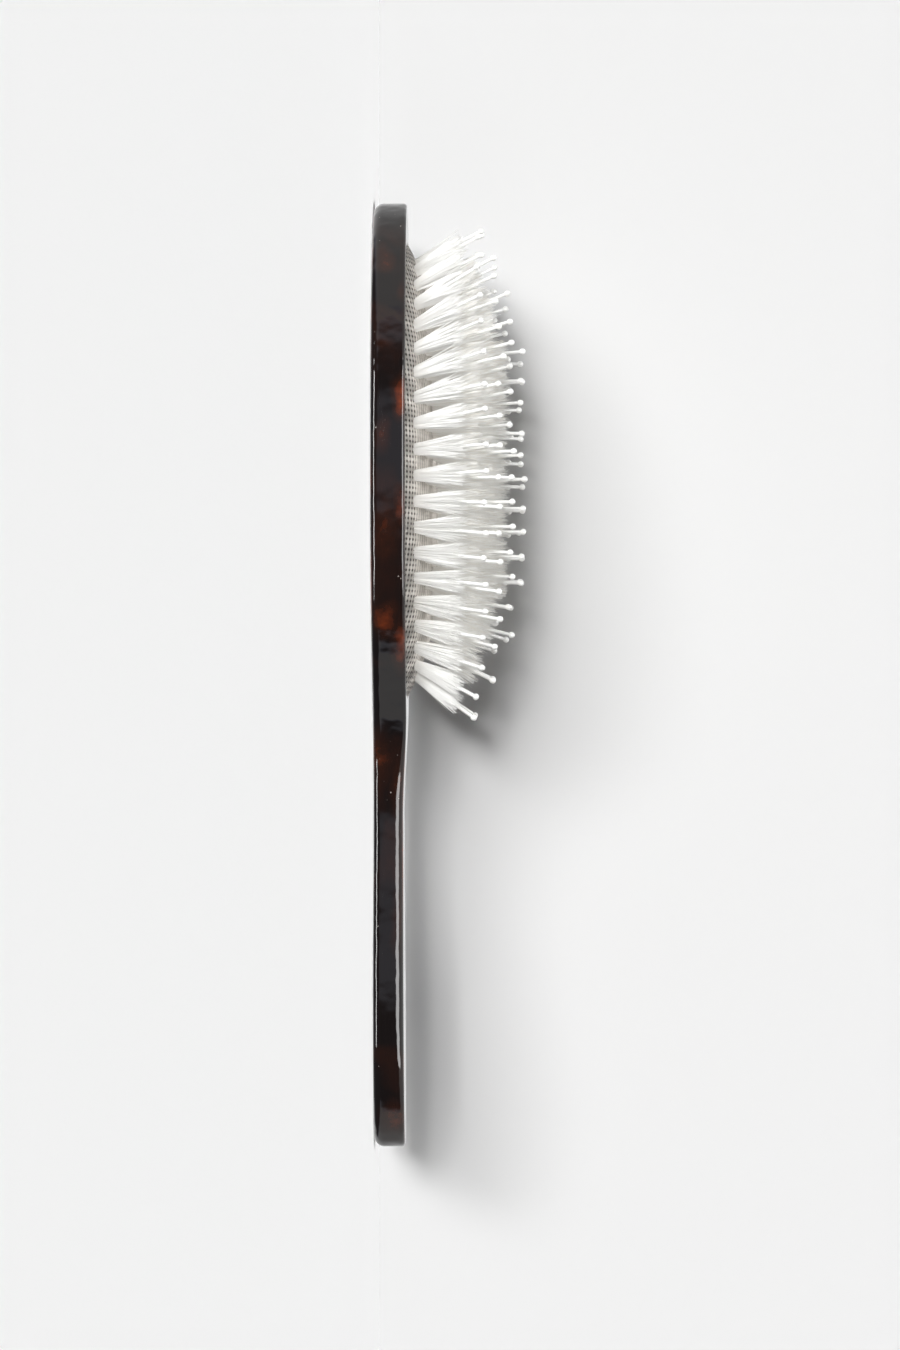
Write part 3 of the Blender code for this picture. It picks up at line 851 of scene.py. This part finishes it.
@dataclass
class Cushion:
    """The air cushion: a rubber skin with a bead in the pocket, and the woven facing stretched over it."""

    facing_finish: WovenFacing = WovenFacing()
    rubber_finish: MouldedRubber = MouldedRubber()
    centre_x: float = -50.0 * MM
    half_length: float = 55.3 * MM
    half_width: float = 29.5 * MM
    seat_height: float = 8.0 * MM
    dome_height: float = 7.3 * MM
    dome_roundness: float = 0.95
    facing_thickness: float = 1.4 * MM
    facing_hem: float = 0.1 * MM
    skin_thickness: float = 1.3 * MM
    skin_from: float = 0.004
    seat_gap: float = 0.3 * MM
    bead_reach: float = 1.4 * MM
    bead_height: float = 1.6 * MM
    bead_gap: float = 0.05 * MM
    pocket_depth: float = 5.5 * MM
    cutter_over: float = 2.0 * MM
    lip_flare: float = 0.25 * MM
    give_share: float = 0.50013
    pucker_depth: float = 0.15 * MM
    pucker_reach: float = 1.7 * MM
    pucker_rise: float = 0.3
    rise_at: float = 1.7
    rise_reach: float = 0.6
    turns: int = 420
    dome_steps: int = 96
    dome_crowding: float = 1.35
    under_steps: int = 26
    skin_turns: int = 160
    skin_steps: int = 40
    pocket_turns: int = 240
    lip_steps: int = 6
    bead_steps: int = 20
    sharp_from_deg: float = 60.0

    def rise(self, inset: np.ndarray) -> np.ndarray:
        """Return height * (1 - share^2)^roundness, where the share is 1 at the rim and 0 at the ridge."""
        share = np.clip(1 - np.asarray(inset) / self.half_width, 0.0, 1.0)
        return self.dome_height * (1 - share * share) ** self.dome_roundness

    def oval(self, inset: np.ndarray, turn: np.ndarray) -> tuple[np.ndarray, np.ndarray]:
        """Return places on the oval that lies `inset` inside the rim: (a - inset) cos, (b - inset) sin."""
        return (self.centre_x + (self.half_length - inset) * np.cos(turn),
                (self.half_width - inset) * np.sin(turn))

    def ring_points(self, profile: np.ndarray, turns: int) -> np.ndarray:
        """Carry a profile round the ovals.

        Args:
            profile: (n, 2) pairs of inset and height.
            turns: how many points go round.

        Returns:
            (n, turns, 3) points.
        """
        turn = 2 * np.pi * np.arange(turns) / turns
        x, y = self.oval(profile[:, :1], turn[None, :])
        return np.stack([x, y, np.broadcast_to(profile[:, 1:], x.shape)], axis=-1)

    def closed_ring(self, name: str, profile: np.ndarray, turns: int) -> Object:
        """Make a closed piece from a profile whose ends meet each other or end on the ridge.

        Args:
            name: the piece's name.
            profile: (n, 2) pairs of inset and height.
            turns: how many points go round.

        Returns:
            The new object.
        """
        points = self.ring_points(profile, turns).reshape(-1, 3)
        ends_meet = profile[0, 0] < self.half_width
        return make_mesh(name, *weld(points, grid_faces(len(profile), turns, ends_meet, True)))

    def pocket_cutter(self) -> Object:
        """Make the pocket's shape: an oval wall, an undercut for the bead, and a flared lip.

        Formula: the lip widens by flare * (1 - cos a) while it rises by flare * sin a, over a quarter turn.

        Returns:
            The shape that is cut out of the body.
        """
        bead_top = self.seat_height - self.facing_thickness - self.seat_gap
        wall, undercut = -self.seat_gap, -(self.bead_reach + self.seat_gap)
        floor = self.seat_height - self.pocket_depth
        low, high = bead_top - self.bead_height - self.seat_gap, bead_top + self.seat_gap / 2
        flare = np.linspace(0.0, np.pi / 2, self.lip_steps)
        lip = np.column_stack([wall - self.lip_flare * (1 - np.cos(flare)),
                               self.seat_height - self.lip_flare * (1 - np.sin(flare))])
        above = self.seat_height + self.cutter_over
        profile = np.concatenate([
            [(self.half_width, floor), (wall, floor), (wall, low), (undercut, low), (undercut, high),
             (wall, high)], lip, [(wall - self.lip_flare, above), (self.half_width, above)]])
        return self.closed_ring("pocket_cutter", profile, self.pocket_turns)

    def build_facing(self, tufts: np.ndarray) -> Object:
        """Make the woven facing: the dome, puckered round each tuft, and its edge tucked into the pocket.

        Formula: the outer surface drops by depth * (exp(-s^2) - rise * exp(-((s - rise at) / rise reach)^2)),
        for the distance s to each tuft in pucker reaches.

        Args:
            tufts: (n, 2) places of the tufts, seen from above.

        Returns:
            The finished piece.
        """
        top_inset = self.half_width * np.linspace(0.0, 1.0, self.dome_steps) ** self.dome_crowding
        under_inset = self.half_width * np.linspace(1.0, 0.0, self.under_steps)
        insets = np.concatenate([top_inset, under_inset])
        drops = np.concatenate([np.zeros(len(top_inset)),
                                np.full(len(under_inset), self.facing_thickness - self.facing_hem)])
        profile = np.column_stack([insets, self.seat_height + self.rise(insets) - drops])
        points = self.ring_points(profile, self.turns)
        outer = points[:self.dome_steps]
        flat = outer[..., :2].reshape(-1, 2)
        pucker = np.zeros(len(flat))
        for tuft in tufts:
            away = np.hypot(*(flat - tuft).T) / self.pucker_reach
            risen = self.pucker_rise * np.exp(-((away - self.rise_at) / self.rise_reach) ** 2)
            pucker += np.exp(-away ** 2) - risen
        outer[..., 2] -= (self.pucker_depth * pucker).reshape(outer.shape[:2])
        quads = grid_faces(len(profile), self.turns, wrap_rows=True, wrap_columns=True)
        item = make_mesh("woven_facing", *weld(points.reshape(-1, 3), quads))
        item.data.set_sharp_from_angle(angle=math.radians(self.sharp_from_deg))
        dress(item, self.facing_finish.material(), Slot.FACING, Body.HANDLE, ["facing_rim"])
        self.let_give(item)
        return item

    def build_skin(self) -> Object:
        """Make the rubber skin: the dome again, under the facing, with an even wall.

        Returns:
            The finished piece.
        """
        inset = self.half_width * np.linspace(self.skin_from, 1.0, self.skin_steps)
        top = self.seat_height + self.rise(inset) - self.facing_thickness - self.seat_gap / 3
        profile = np.concatenate([np.column_stack([inset, top]),
                                  np.column_stack([inset, top - self.skin_thickness])[::-1]])
        item = self.closed_ring("rubber_skin", profile, self.skin_turns)
        item.data.set_sharp_from_angle(angle=math.radians(self.sharp_from_deg))
        dress(item, self.rubber_finish.material(), Slot.RUBBER, Body.HANDLE, ["cushion_membrane"])
        self.let_give(item)
        return item

    def build_bead(self) -> Object:
        """Make the skin's bead: a rounded ring that sits in the pocket's undercut.

        Returns:
            The finished piece.
        """
        top = self.seat_height - self.facing_thickness - self.seat_gap
        turn = 2 * np.pi * np.arange(self.bead_steps) / self.bead_steps
        radius_in, radius_up = self.bead_reach / 2, self.bead_height / 2
        profile = np.column_stack([-radius_in + (radius_in - self.bead_gap) * np.cos(turn),
                                   top - radius_up + radius_up * np.sin(turn)])
        item = self.closed_ring("rubber_bead", profile, self.skin_turns)
        return dress(item, self.rubber_finish.material(), Slot.RUBBER, Body.HANDLE, [])

    def let_give(self, item: Object) -> None:
        """Give a piece its own copy of its mesh."""
        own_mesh(item)


@dataclass(frozen=True)
class TuftPlaces:
    """A row's roots, unit ways, unit lines along the row and outwards, and the tufts' spacing."""

    root: np.ndarray
    way: np.ndarray
    along: np.ndarray
    outward: np.ndarray
    pitch: float


@dataclass
class TuftRow:
    """One row of tufts: for each, a bundle of fine bristles and one long pin with a ball tip.

    A pair of values runs from a neat row's to a loose row's.
    """

    plan: RowPlan
    cushion: Cushion
    bristle_material: Material
    pin_material: Material
    arc_steps: int = 2881
    root_depth: float = 0.7 * MM
    bristles: tuple[int, int] = (160, 200)
    bristle_sides: int = 3
    bristle_radius: float = 0.10 * MM
    bristle_rings: tuple[float, ...] = (0.0, 0.3, 0.6, 0.85, 1.0)
    bristle_taper: tuple[float, ...] = (1.0, 1.0, 1.0, 0.9, 0.45)
    bristle_bend: float = 0.020
    bundle_share: float = 0.20
    fan_share: Pair = (0.46, 0.60)
    bundle_depth: float = 0.95 * MM
    fan_depth: Pair = (2.3 * MM, 3.6 * MM)
    stray: Pair = (0.016, 0.030)
    longest: float = 1.12
    shorter_aside: float = 0.05
    fray: float = 0.36
    # more strands take the darker cream in the loose inner rows: partly the nylon's own tone, partly painted
    # shade deep among the bristles
    cream_and_shade: Pair = (0.15, 0.90)
    pin_sides: int = 8
    pin_radius: float = 0.41 * MM
    pin_root_swell: float = 1.12
    pin_stray: float = 0.022
    pin_bend: float = 0.012
    pin_uneven: float = 0.25 * MM
    pin_cream: float = 0.5
    pin_seed: int = 50
    ball_radius: float = 0.77 * MM
    ball_rings_deg: tuple[float, ...] = (155.0, 125.0, 95.0, 65.0, 38.0, 14.0)
    shaft_to_ball: float = 2.15

    def lay_out(self) -> TuftPlaces:
        """Work out where the row's tufts stand and which way they point.

        Formula: tufts stand at even arc lengths along the oval, half a step off the axis. The way is
        up * cos(lean) + outward * sin(lean), with lean = side + (end - side) * outward_x^2. On the head's
        half it also tips towards the head end, by splay * |cos turn * sin turn|, and is made a unit again.

        Returns:
            The tufts' places.
        """
        cushion = self.cushion
        inset = self.plan.inset_share * cushion.half_width
        turns = np.linspace(0.0, 2 * np.pi, self.arc_steps)
        x, y = cushion.oval(inset, turns)
        walked = np.concatenate([[0.0], np.cumsum(np.hypot(np.diff(x), np.diff(y)))])
        pitch = walked[-1] / self.plan.tufts
        turn = np.interp((np.arange(self.plan.tufts) + 0.5) * pitch, walked, turns)
        x, y = cushion.oval(inset, turn)
        height = cushion.seat_height + cushion.rise(inset) - self.root_depth
        outward = unit(np.column_stack([(cushion.half_width - inset) * np.cos(turn),
                                        (cushion.half_length - inset) * np.sin(turn), np.zeros(len(turn))]))
        side, head, handle = self.plan.leans_deg
        end = np.where(outward[:, 0] > 0, handle, head)
        lean = np.radians(side + (end - side) * outward[:, 0] ** 2)[:, None]
        way = np.array([0.0, 0.0, 1.0]) * np.cos(lean) + outward * np.sin(lean)
        way[:, 0] += self.plan.head_splay * np.minimum(np.cos(turn), 0.0) * np.abs(np.sin(turn))
        return TuftPlaces(np.column_stack([x, y, np.full(len(turn), height)]), unit(way),
                          np.column_stack([-outward[:, 1], outward[:, 0], np.zeros(len(turn))]),
                          outward, float(pitch))

    def build_bristles(self) -> Object:
        """Make the row's bristles as one piece.

        Formula: a bristle's seat has u even over -1 to 1 and v within sqrt(1 - u^2 / 2), so that the fan's
        sides are as full as its middle. It starts at root + along * u * bundle + outward * v * depth,
        follows way + along * u * spread + outward * v * splay, and strays from that line by a small bend
        times the square of its share of the length. Its reach is length * (longest - shorter * u^2 - fray *
        w^1.5), with w even over 0 to 1, so that the fan ends in a frayed brush.

        Returns:
            The finished piece.
        """
        places, plan = self.lay_out(), self.plan
        rng = np.random.default_rng(plan.seed)
        bristles, fan_share, fan_depth, stray, cream_and_shade = (
            pair[0] + (pair[1] - pair[0]) * plan.loose
            for pair in (self.bristles, self.fan_share, self.fan_depth, self.stray, self.cream_and_shade))
        count = (plan.tufts, round(bristles))
        u = rng.uniform(-1.0, 1.0, count)
        v = rng.uniform(-1.0, 1.0, count) * np.sqrt(1 - u ** 2 / 2)
        length = plan.bristle_length + self.root_depth
        way, along, outward = (line[:, None, :] for line in (places.way, places.along, places.outward))
        root = (places.root[:, None, :] + along * (u * self.bundle_share * places.pitch)[..., None]
                + outward * (v * self.bundle_depth)[..., None])
        inset = plan.inset_share * self.cushion.half_width
        root[..., 2] += self.cushion.rise(inset - v * self.bundle_depth) - self.cushion.rise(inset)
        spread = (fan_share - self.bundle_share) * places.pitch / length
        splay = (fan_depth - self.bundle_depth) / length
        line = way + along * (u * spread)[..., None] + outward * (v * splay)[..., None]
        line = unit(line + rng.normal(0.0, stray, (*count, 3)))
        frayed = self.fray * rng.uniform(0.0, 1.0, count) ** 1.5
        reach = length * (self.longest - self.shorter_aside * u ** 2 - frayed)
        bend = rng.normal(0.0, self.bristle_bend, (*count, 3)) * reach[..., None]
        share = np.array(self.bristle_rings)
        centres = (root[:, :, None, :] + line[:, :, None, :] * (reach[..., None] * share)[..., None]
                   + bend[:, :, None, :] * (share ** 2)[:, None])
        strands, rings = count[0] * count[1], len(share)
        radii = np.tile(self.bristle_radius * np.array(self.bristle_taper), (strands, 1))
        points, faces = carry_rings(centres.reshape(strands, rings, 3), line.reshape(strands, 3),
                                    np.broadcast_to(along, line.shape).reshape(strands, 3), radii,
                                    self.bristle_sides)
        item = make_mesh(f"{plan.name}_bristles", points, faces, smooth=False)
        store(item, "reach", np.tile(np.repeat(share, self.bristle_sides), strands))
        # creamier strands, more of them in the loose inner rows: partly the nylon's tone, partly painted
        # shade
        store(item, "tint", np.repeat(cream_and_shade * rng.uniform(0.0, 1.0, strands) ** 2,
                                      self.bristle_sides * rings))
        nodes = [f"{plan.name}_tufts_{number + 1}" for number in range(plan.slices)]
        return dress(item, self.bristle_material, Slot.NYLON, plan.body, nodes)

    def build_pins(self) -> Object:
        """Make the row's pins as one piece: a shaft with a slight taper that swells into a ball.

        Formula: past the shaft, the radius follows the circle sqrt(ball^2 - (distance - centre)^2).

        Returns:
            The finished piece.
        """
        places, plan, ball = self.lay_out(), self.plan, self.ball_radius
        rng = np.random.default_rng(plan.seed + self.pin_seed)
        length = self.root_depth + plan.bristle_length + plan.pin_over
        lengths = (length + rng.normal(0.0, self.pin_uneven, plan.tufts))[:, None]
        way = unit(places.way + rng.normal(0.0, self.pin_stray, (plan.tufts, 3)))
        polar = np.radians(self.ball_rings_deg)
        radii = np.concatenate([[self.pin_radius * self.pin_root_swell, self.pin_radius],
                                ball * np.sin(polar)])
        distance = lengths - np.concatenate([[0.0, self.shaft_to_ball * ball], ball - ball * np.cos(polar)])
        distance[:, 0] = 0.0
        bend = rng.normal(0.0, self.pin_bend, (plan.tufts, 3)) * lengths
        share = distance / lengths
        centres = (places.root[:, None, :] + way[:, None, :] * distance[..., None]
                   + bend[:, None, :] * (share ** 2)[..., None])
        points, faces = carry_rings(centres, way, places.along, np.tile(radii, (plan.tufts, 1)),
                                    self.pin_sides)
        item = make_mesh(f"{plan.name}_pins", points, faces)
        store(item, "reach", np.repeat(share.ravel(), self.pin_sides))
        store(item, "tint", np.repeat(rng.uniform(0.0, self.pin_cream, plan.tufts),
                                      share.shape[1] * self.pin_sides))
        return dress(item, self.pin_material, Slot.NYLON, plan.body, [])


# The studio


@dataclass(frozen=True)
class Softbox:
    """A rectangular lamp: where it hangs, its size, its power, and whether matt or gloss surfaces see it."""

    name: str
    place: Triple
    size: Pair
    watts: float
    on_matt: bool = True
    in_gloss: bool = False
    face_steps: int = 8

    def axes(self, target: Sequence[float]) -> np.ndarray:
        """Work out the lamp's three unit lines.

        Args:
            target: where the lamp is aimed.

        Returns:
            The lines as rows: along its width, along its height, and backwards.
        """
        back = unit(np.array(self.place) - np.array(target))
        across = unit(np.array([1.0, 0.0, 0.0]) - back * back[0])
        return np.stack([across, np.cross(back, across), back])

    def light_on(self, points: np.ndarray, normal: np.ndarray, target: Sequence[float]) -> np.ndarray:
        """Return how bright the lamp makes a white matt surface at each point.

        Formula: the mean over the lamp's face of watts / pi^2 * cos out * cos in / distance^2, with both
        cosines at least 0.

        Args:
            points: (n, 3) places.
            normal: the surface's normal.
            target: where the lamp is aimed.

        Returns:
            (n,) brightness of a surface with a colour of 1.
        """
        across, up, back = self.axes(target)
        shares = (np.arange(self.face_steps) + 0.5) / self.face_steps - 0.5
        total = np.zeros(len(points))
        for right in shares * self.size[0]:
            for high in shares * self.size[1]:
                way = np.array(self.place) + across * right + up * high - points
                away = np.linalg.norm(way, axis=1)
                leaving, arriving = way @ back / away, way @ normal / away
                total += np.clip(leaving, 0.0, None) * np.clip(arriving, 0.0, None) / away ** 2
        return total * self.watts / (math.pi * self.face_steps) ** 2


@dataclass
class Studio:
    """Pale floor and backdrop, soft lamps, dark flags for the gloss, and the camera itself."""

    background: str = "#F2F2F2"
    flag_colour: str = "#EBF0FF"
    backdrop_y: float = 36.7 * MM
    paper_reach: float = 4.0
    paper_points: int = 161
    paper_crowding: float = 4.0
    palest_paper: float = 0.9
    target: Triple = (0.0, 0.0, 0.018)
    camera_place: Triple = (-0.00012, -0.600, 0.0184)
    clip: Pair = (0.01, 20.0)
    focal_pixels: float = 2454.0
    long_side_pixels: float = 1350.0
    sensor_mm: float = 36.0
    ambient: float = 0.03
    flag_ends: Pair = (-2.2, 3.6)
    flag_away: float = 2.2
    flag_top: float = 1.5
    flag_fade: float = 0.8
    flag_glow: Pair = (0.09, 0.60)
    glow_middle: float = -0.35
    glow_ramp: Pair = (0.8, 0.25)
    under_glow: float = 0.10
    lamps: tuple[Softbox, ...] = (
        Softbox("key_softbox", (-0.44, -1.40, -0.27), (0.32, 0.26), 13.0),
        Softbox("key_core_softbox", (-0.28, -1.47, -0.12), (0.15, 0.12), 5.2),
        Softbox("left_softbox", (-0.62, -1.17, -0.62), (0.34, 0.62), 11.6),
        Softbox("head_side_softbox", (-1.19, -0.91, 0.06), (0.30, 0.30), 0.5),
        Softbox("butt_side_softbox", (0.93, -1.16, -0.21), (0.30, 0.30), 0.8),
        Softbox("far_side_softbox", (0.10, 1.35, -0.45), (0.50, 0.50), 15.0),
        Softbox("top_softbox", (0.0, 0.02, 1.6), (0.35, 0.8), 18.0),
        Softbox("back_edge_strip", (-0.05, -0.20, -1.48), (1.1, 0.20), 12.0, on_matt=False, in_gloss=True),
        Softbox("front_edge_strip", (0.0, -1.10, 1.04), (1.6, 1.00), 42.0, on_matt=False, in_gloss=True),
    )

    def build(self) -> None:
        """Set up the colour management, the world, the backdrop, the lamps and the camera."""
        bpy.context.scene.view_settings.view_transform = "Standard"
        self._world()
        self._backdrop()
        self._flags()
        for lamp in self.lamps:
            self._lamp(lamp)
        self._camera()
        log.info("studio: %d lamps", len(self.lamps))

    def _world(self) -> None:
        """Light softly from all round, and show the pale background to the eye and to gloss."""
        world = bpy.data.worlds.new("studio_world")
        world.use_nodes = True
        world.node_tree.nodes.clear()
        add = partial(add_node, world.node_tree)
        path = add("LightPath").outputs
        seen = path["Is Camera Ray"]
        for other in ("Is Glossy Ray", "Is Transmission Ray"):
            seen = add("Math", {"operation": "MAXIMUM"}, {0: seen, 1: path[other]})
        ambient = add("Background", {"Color": (1.0, 1.0, 1.0, 1.0), "Strength": self.ambient})
        shown = add("Background", {"Color": linear_colour(self.background)})
        mixed = add("MixShader", links={0: seen, 1: ambient, 2: shown})
        add("OutputWorld", links={"Surface": mixed})
        bpy.context.scene.world = world

    def _paper(self, add: AddNode, _: NodeSocket) -> Node:
        """Make paper that is evenly pale from the front, and clear from behind.

        Its `shade` is its colour. Its `fill` is what the eye sees where the lamps don't reach.

        Args:
            add: adds a node to the material.
            _: the place in object space, which the paper has no use for.

        Returns:
            The shader.
        """
        shade, fill = (add("Attribute", {"attribute_name": name}).outputs["Fac"]
                       for name in ("shade", "fill"))
        matt = add("BsdfDiffuse", links={"Color": shade})
        eye = add("LightPath").outputs["Is Camera Ray"]
        shown = add("Math", {"operation": "MULTIPLY"}, {0: fill, 1: eye})
        glow = add("Emission", links={"Strength": shown})
        front = add("AddShader", links={0: matt, 1: glow})
        behind = add("NewGeometry").outputs["Backfacing"]
        return add("MixShader", links={0: behind, 1: front, 2: add("BsdfTransparent")})

    def _sheet_of_paper(self, name: str, material: Material, origin: Sequence[float],
                        right: Sequence[float], up: Sequence[float]) -> None:
        """Lay one sheet of paper, shaded so that it looks evenly pale where nothing shadows it.

        Formula: shade = tone / light, at most the palest paper, and fill = tone - shade * light. The light is
        what all the matt lamps and the world give there. The points lie closer near the brush, at
        reach * sinh(crowding * s) / sinh(crowding) for s even over -1 to 1.

        Args:
            name: the sheet's name.
            material: its paper.
            origin: the point of the sheet behind or under the brush.
            right: unit line along the sheet.
            up: unit line across the sheet. Its front looks along right x up.
        """
        steps = np.linspace(-1.0, 1.0, self.paper_points)
        line = self.paper_reach * np.sinh(self.paper_crowding * steps) / math.sinh(self.paper_crowding)
        across, high = np.meshgrid(line, line)
        points = (np.array(origin) + across.reshape(-1, 1) * np.array(right)
                  + high.reshape(-1, 1) * np.array(up))
        normal = np.cross(right, up)
        light = self.ambient + sum(lamp.light_on(points, normal, self.target)
                                   for lamp in self.lamps if lamp.on_matt)
        tone = linear_colour(self.background)[0]
        shade = np.minimum(self.palest_paper, tone / light)
        item = make_mesh(name, points, [grid_faces(self.paper_points, self.paper_points)])
        store(item, "shade", shade)
        store(item, "fill", tone - shade * light)
        item.data.materials.append(material)
        item.visible_diffuse = item.visible_glossy = item.visible_shadow = False

    def _backdrop(self) -> None:
        """Stand the paper behind the brush and lay it under it; the brush's shadow falls on both.

        They cast none themselves, so the lamp on the far side reaches the brush from behind the paper. It
        stands for the light that pale paper throws back.
        """
        paper = make_material("seamless_paper", self._paper)
        self._sheet_of_paper("backdrop", paper, (0.0, self.backdrop_y, 0.0), (1.0, 0.0, 0.0), (0.0, 0.0, 1.0))
        self._sheet_of_paper("floor", paper, (0.0, 0.0, 0.0), (1.0, 0.0, 0.0), (0.0, 1.0, 0.0))

    def _flags(self) -> None:
        """Hang one dark flag behind the camera and one under the brush's back, seen by gloss only.

        They keep the polished side and back dark. The first one catches a patch of spill light near its
        middle, which greys the grip, and both fade to the backdrop's tone at their ends.
        """
        (start, end), away, top = self.flag_ends, self.flag_away, self.flag_top
        flags = (
            ("flag", self.flag_glow,
             [(start, -away, -away), (end, -away, -away), (end, -away, top), (start, -away, top)]),
            ("under_flag", (self.under_glow, self.under_glow),
             [(start, -away, -away), (end, -away, -away), (end, away, -away), (start, away, -away)]),
        )
        for name, glow, corners in flags:
            item = make_mesh(name, np.array(corners), [np.array([[0, 1, 2, 3]])])
            item.data.materials.append(make_material(
                f"{name}_cloth", lambda add, place, glow=glow: self._flag_cloth(add, place, glow)))
            item.visible_camera = item.visible_diffuse = False
            item.visible_shadow = item.visible_transmission = False

    def _flag_cloth(self, add: AddNode, place: NodeSocket, glow: Pair) -> Node:
        """Return a flag's shader.

        Formula: the glow is a smoothstep along X from the first value far from the spill light's middle to
        the second one at it. At the flag's ends it is mixed with the backdrop's tone, by a smoothstep over
        the last stretch.

        Args:
            add: adds a node to the material.
            place: the place in object space.
            glow: how bright the cloth is away from the spill light, and in it.

        Returns:
            The shader.
        """
        along_x = add("SeparateXYZ", links={"Vector": place}).outputs["X"]
        (start, end), tone = self.flag_ends, linear_colour(self.background)[0]
        ramps = []
        for middle, ramp, values in (
                (self.glow_middle, self.glow_ramp, glow),
                ((start + end) / 2, ((end - start) / 2 - self.flag_fade, (end - start) / 2), (0.0, 1.0))):
            offset = add("Math", {"operation": "SUBTRACT", 1: middle}, {0: along_x})
            aside = add("Math", {"operation": "ABSOLUTE"}, {0: offset})
            ramps.append(add("MapRange", {**SMOOTH, Ramp.FROM: ramp, Ramp.TO: values}, {"Value": aside}))
        level = add("Mix", {"data_type": "FLOAT", Mix.NUMBER_ABOVE: tone},
                    {Mix.FACTOR: ramps[1], Mix.NUMBER_BELOW: ramps[0]})
        return add("Emission", {"Color": linear_colour(self.flag_colour)}, {"Strength": level})

    def _lamp(self, lamp: Softbox) -> None:
        """Hang one softbox, aimed at the brush.

        Args:
            lamp: the softbox.
        """
        data = bpy.data.lights.new(lamp.name, "AREA")
        data.shape = "RECTANGLE"
        data.size, data.size_y = lamp.size
        data.energy = lamp.watts
        item = bpy.data.objects.new(lamp.name, data)
        item.location = lamp.place
        item.rotation_euler = Matrix(lamp.axes(self.target).T.tolist()).to_euler()
        item.visible_diffuse = lamp.on_matt
        item.visible_glossy = lamp.in_gloss
        bpy.context.scene.collection.objects.link(item)

    def _camera(self) -> None:
        """Set the camera: it looks along +Y at the brush's side, head end up and bristles to the right."""
        data = bpy.data.cameras.new("camera")
        data.sensor_width = self.sensor_mm
        data.lens = self.focal_pixels * self.sensor_mm / self.long_side_pixels
        data.clip_start, data.clip_end = self.clip
        item = bpy.data.objects.new("camera", data)
        right, up, back = Vector((0, 0, 1)), Vector((-1, 0, 0)), Vector((0, -1, 0))
        turned = Matrix((right, up, back)).transposed().to_4x4()
        item.matrix_world = Matrix.Translation(self.camera_place) @ turned
        bpy.context.scene.collection.objects.link(item)
        bpy.context.scene.camera = item


@dataclass
class HairBrush:
    """The whole brush: body, cushion and four rows of tufts."""

    body: AcetateBody = field(default_factory=AcetateBody)
    cushion: Cushion = field(default_factory=Cushion)
    bristle_finish: Nylon = Nylon("nylon_bristle_drawn", "#EBEBE9", "#DAD5CB", "#E6E4E0", roughness=0.42,
                                  glow=0.1, scatter_mm=0.2, painted_bounce_glow=0.130)
    pin_finish: Nylon = Nylon("nylon_pin_moulded", "#F0F0EE", "#E8E6E1", "#E9E7E3", roughness=0.30,
                              glow=0.25, scatter_mm=0.4, painted_bounce_glow=0.10)
    plans: tuple[RowPlan, ...] = (
        RowPlan("outer", Body.OUTER, 0.17, 40, 8, 11.5 * MM, (21.0, 24.0, 35.0), 0.5, 0.0, 6.7 * MM, 11),
        RowPlan("second", Body.SECOND, 0.407, 32, 8, 13.0 * MM, (20.0, 26.0, 30.0), 0.3, 0.9, 6.2 * MM, 12),
        RowPlan("third", Body.THIRD, 0.644, 28, 4, 14.4 * MM, (18.0, 26.0, 26.0), 0.2, 1.0, 5.9 * MM, 13),
        RowPlan("centre", Body.CENTRE, 0.881, 20, 2, 15.7 * MM, (5.0, 20.0, 20.0), 0.1, 1.0, 5.8 * MM, 14),
    )

    def build(self) -> None:
        """Make every piece of the brush."""
        bristle_material = self.bristle_finish.material()
        pin_material = self.pin_finish.material()
        rows = [TuftRow(plan, self.cushion, bristle_material, pin_material) for plan in self.plans]
        self.body.build(self.cushion)
        self.cushion.build_facing(np.concatenate([row.lay_out().root[:, :2] for row in rows]))
        self.cushion.build_skin()
        self.cushion.build_bead()
        for row in rows:
            row.build_bristles()
            row.build_pins()


def main() -> None:
    """Build the brush and its studio."""
    logging.basicConfig(level=logging.INFO, format="%(name)s: %(message)s")
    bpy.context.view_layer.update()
    HairBrush().build()
    Studio().build()


if __name__ == "__main__":
    main()
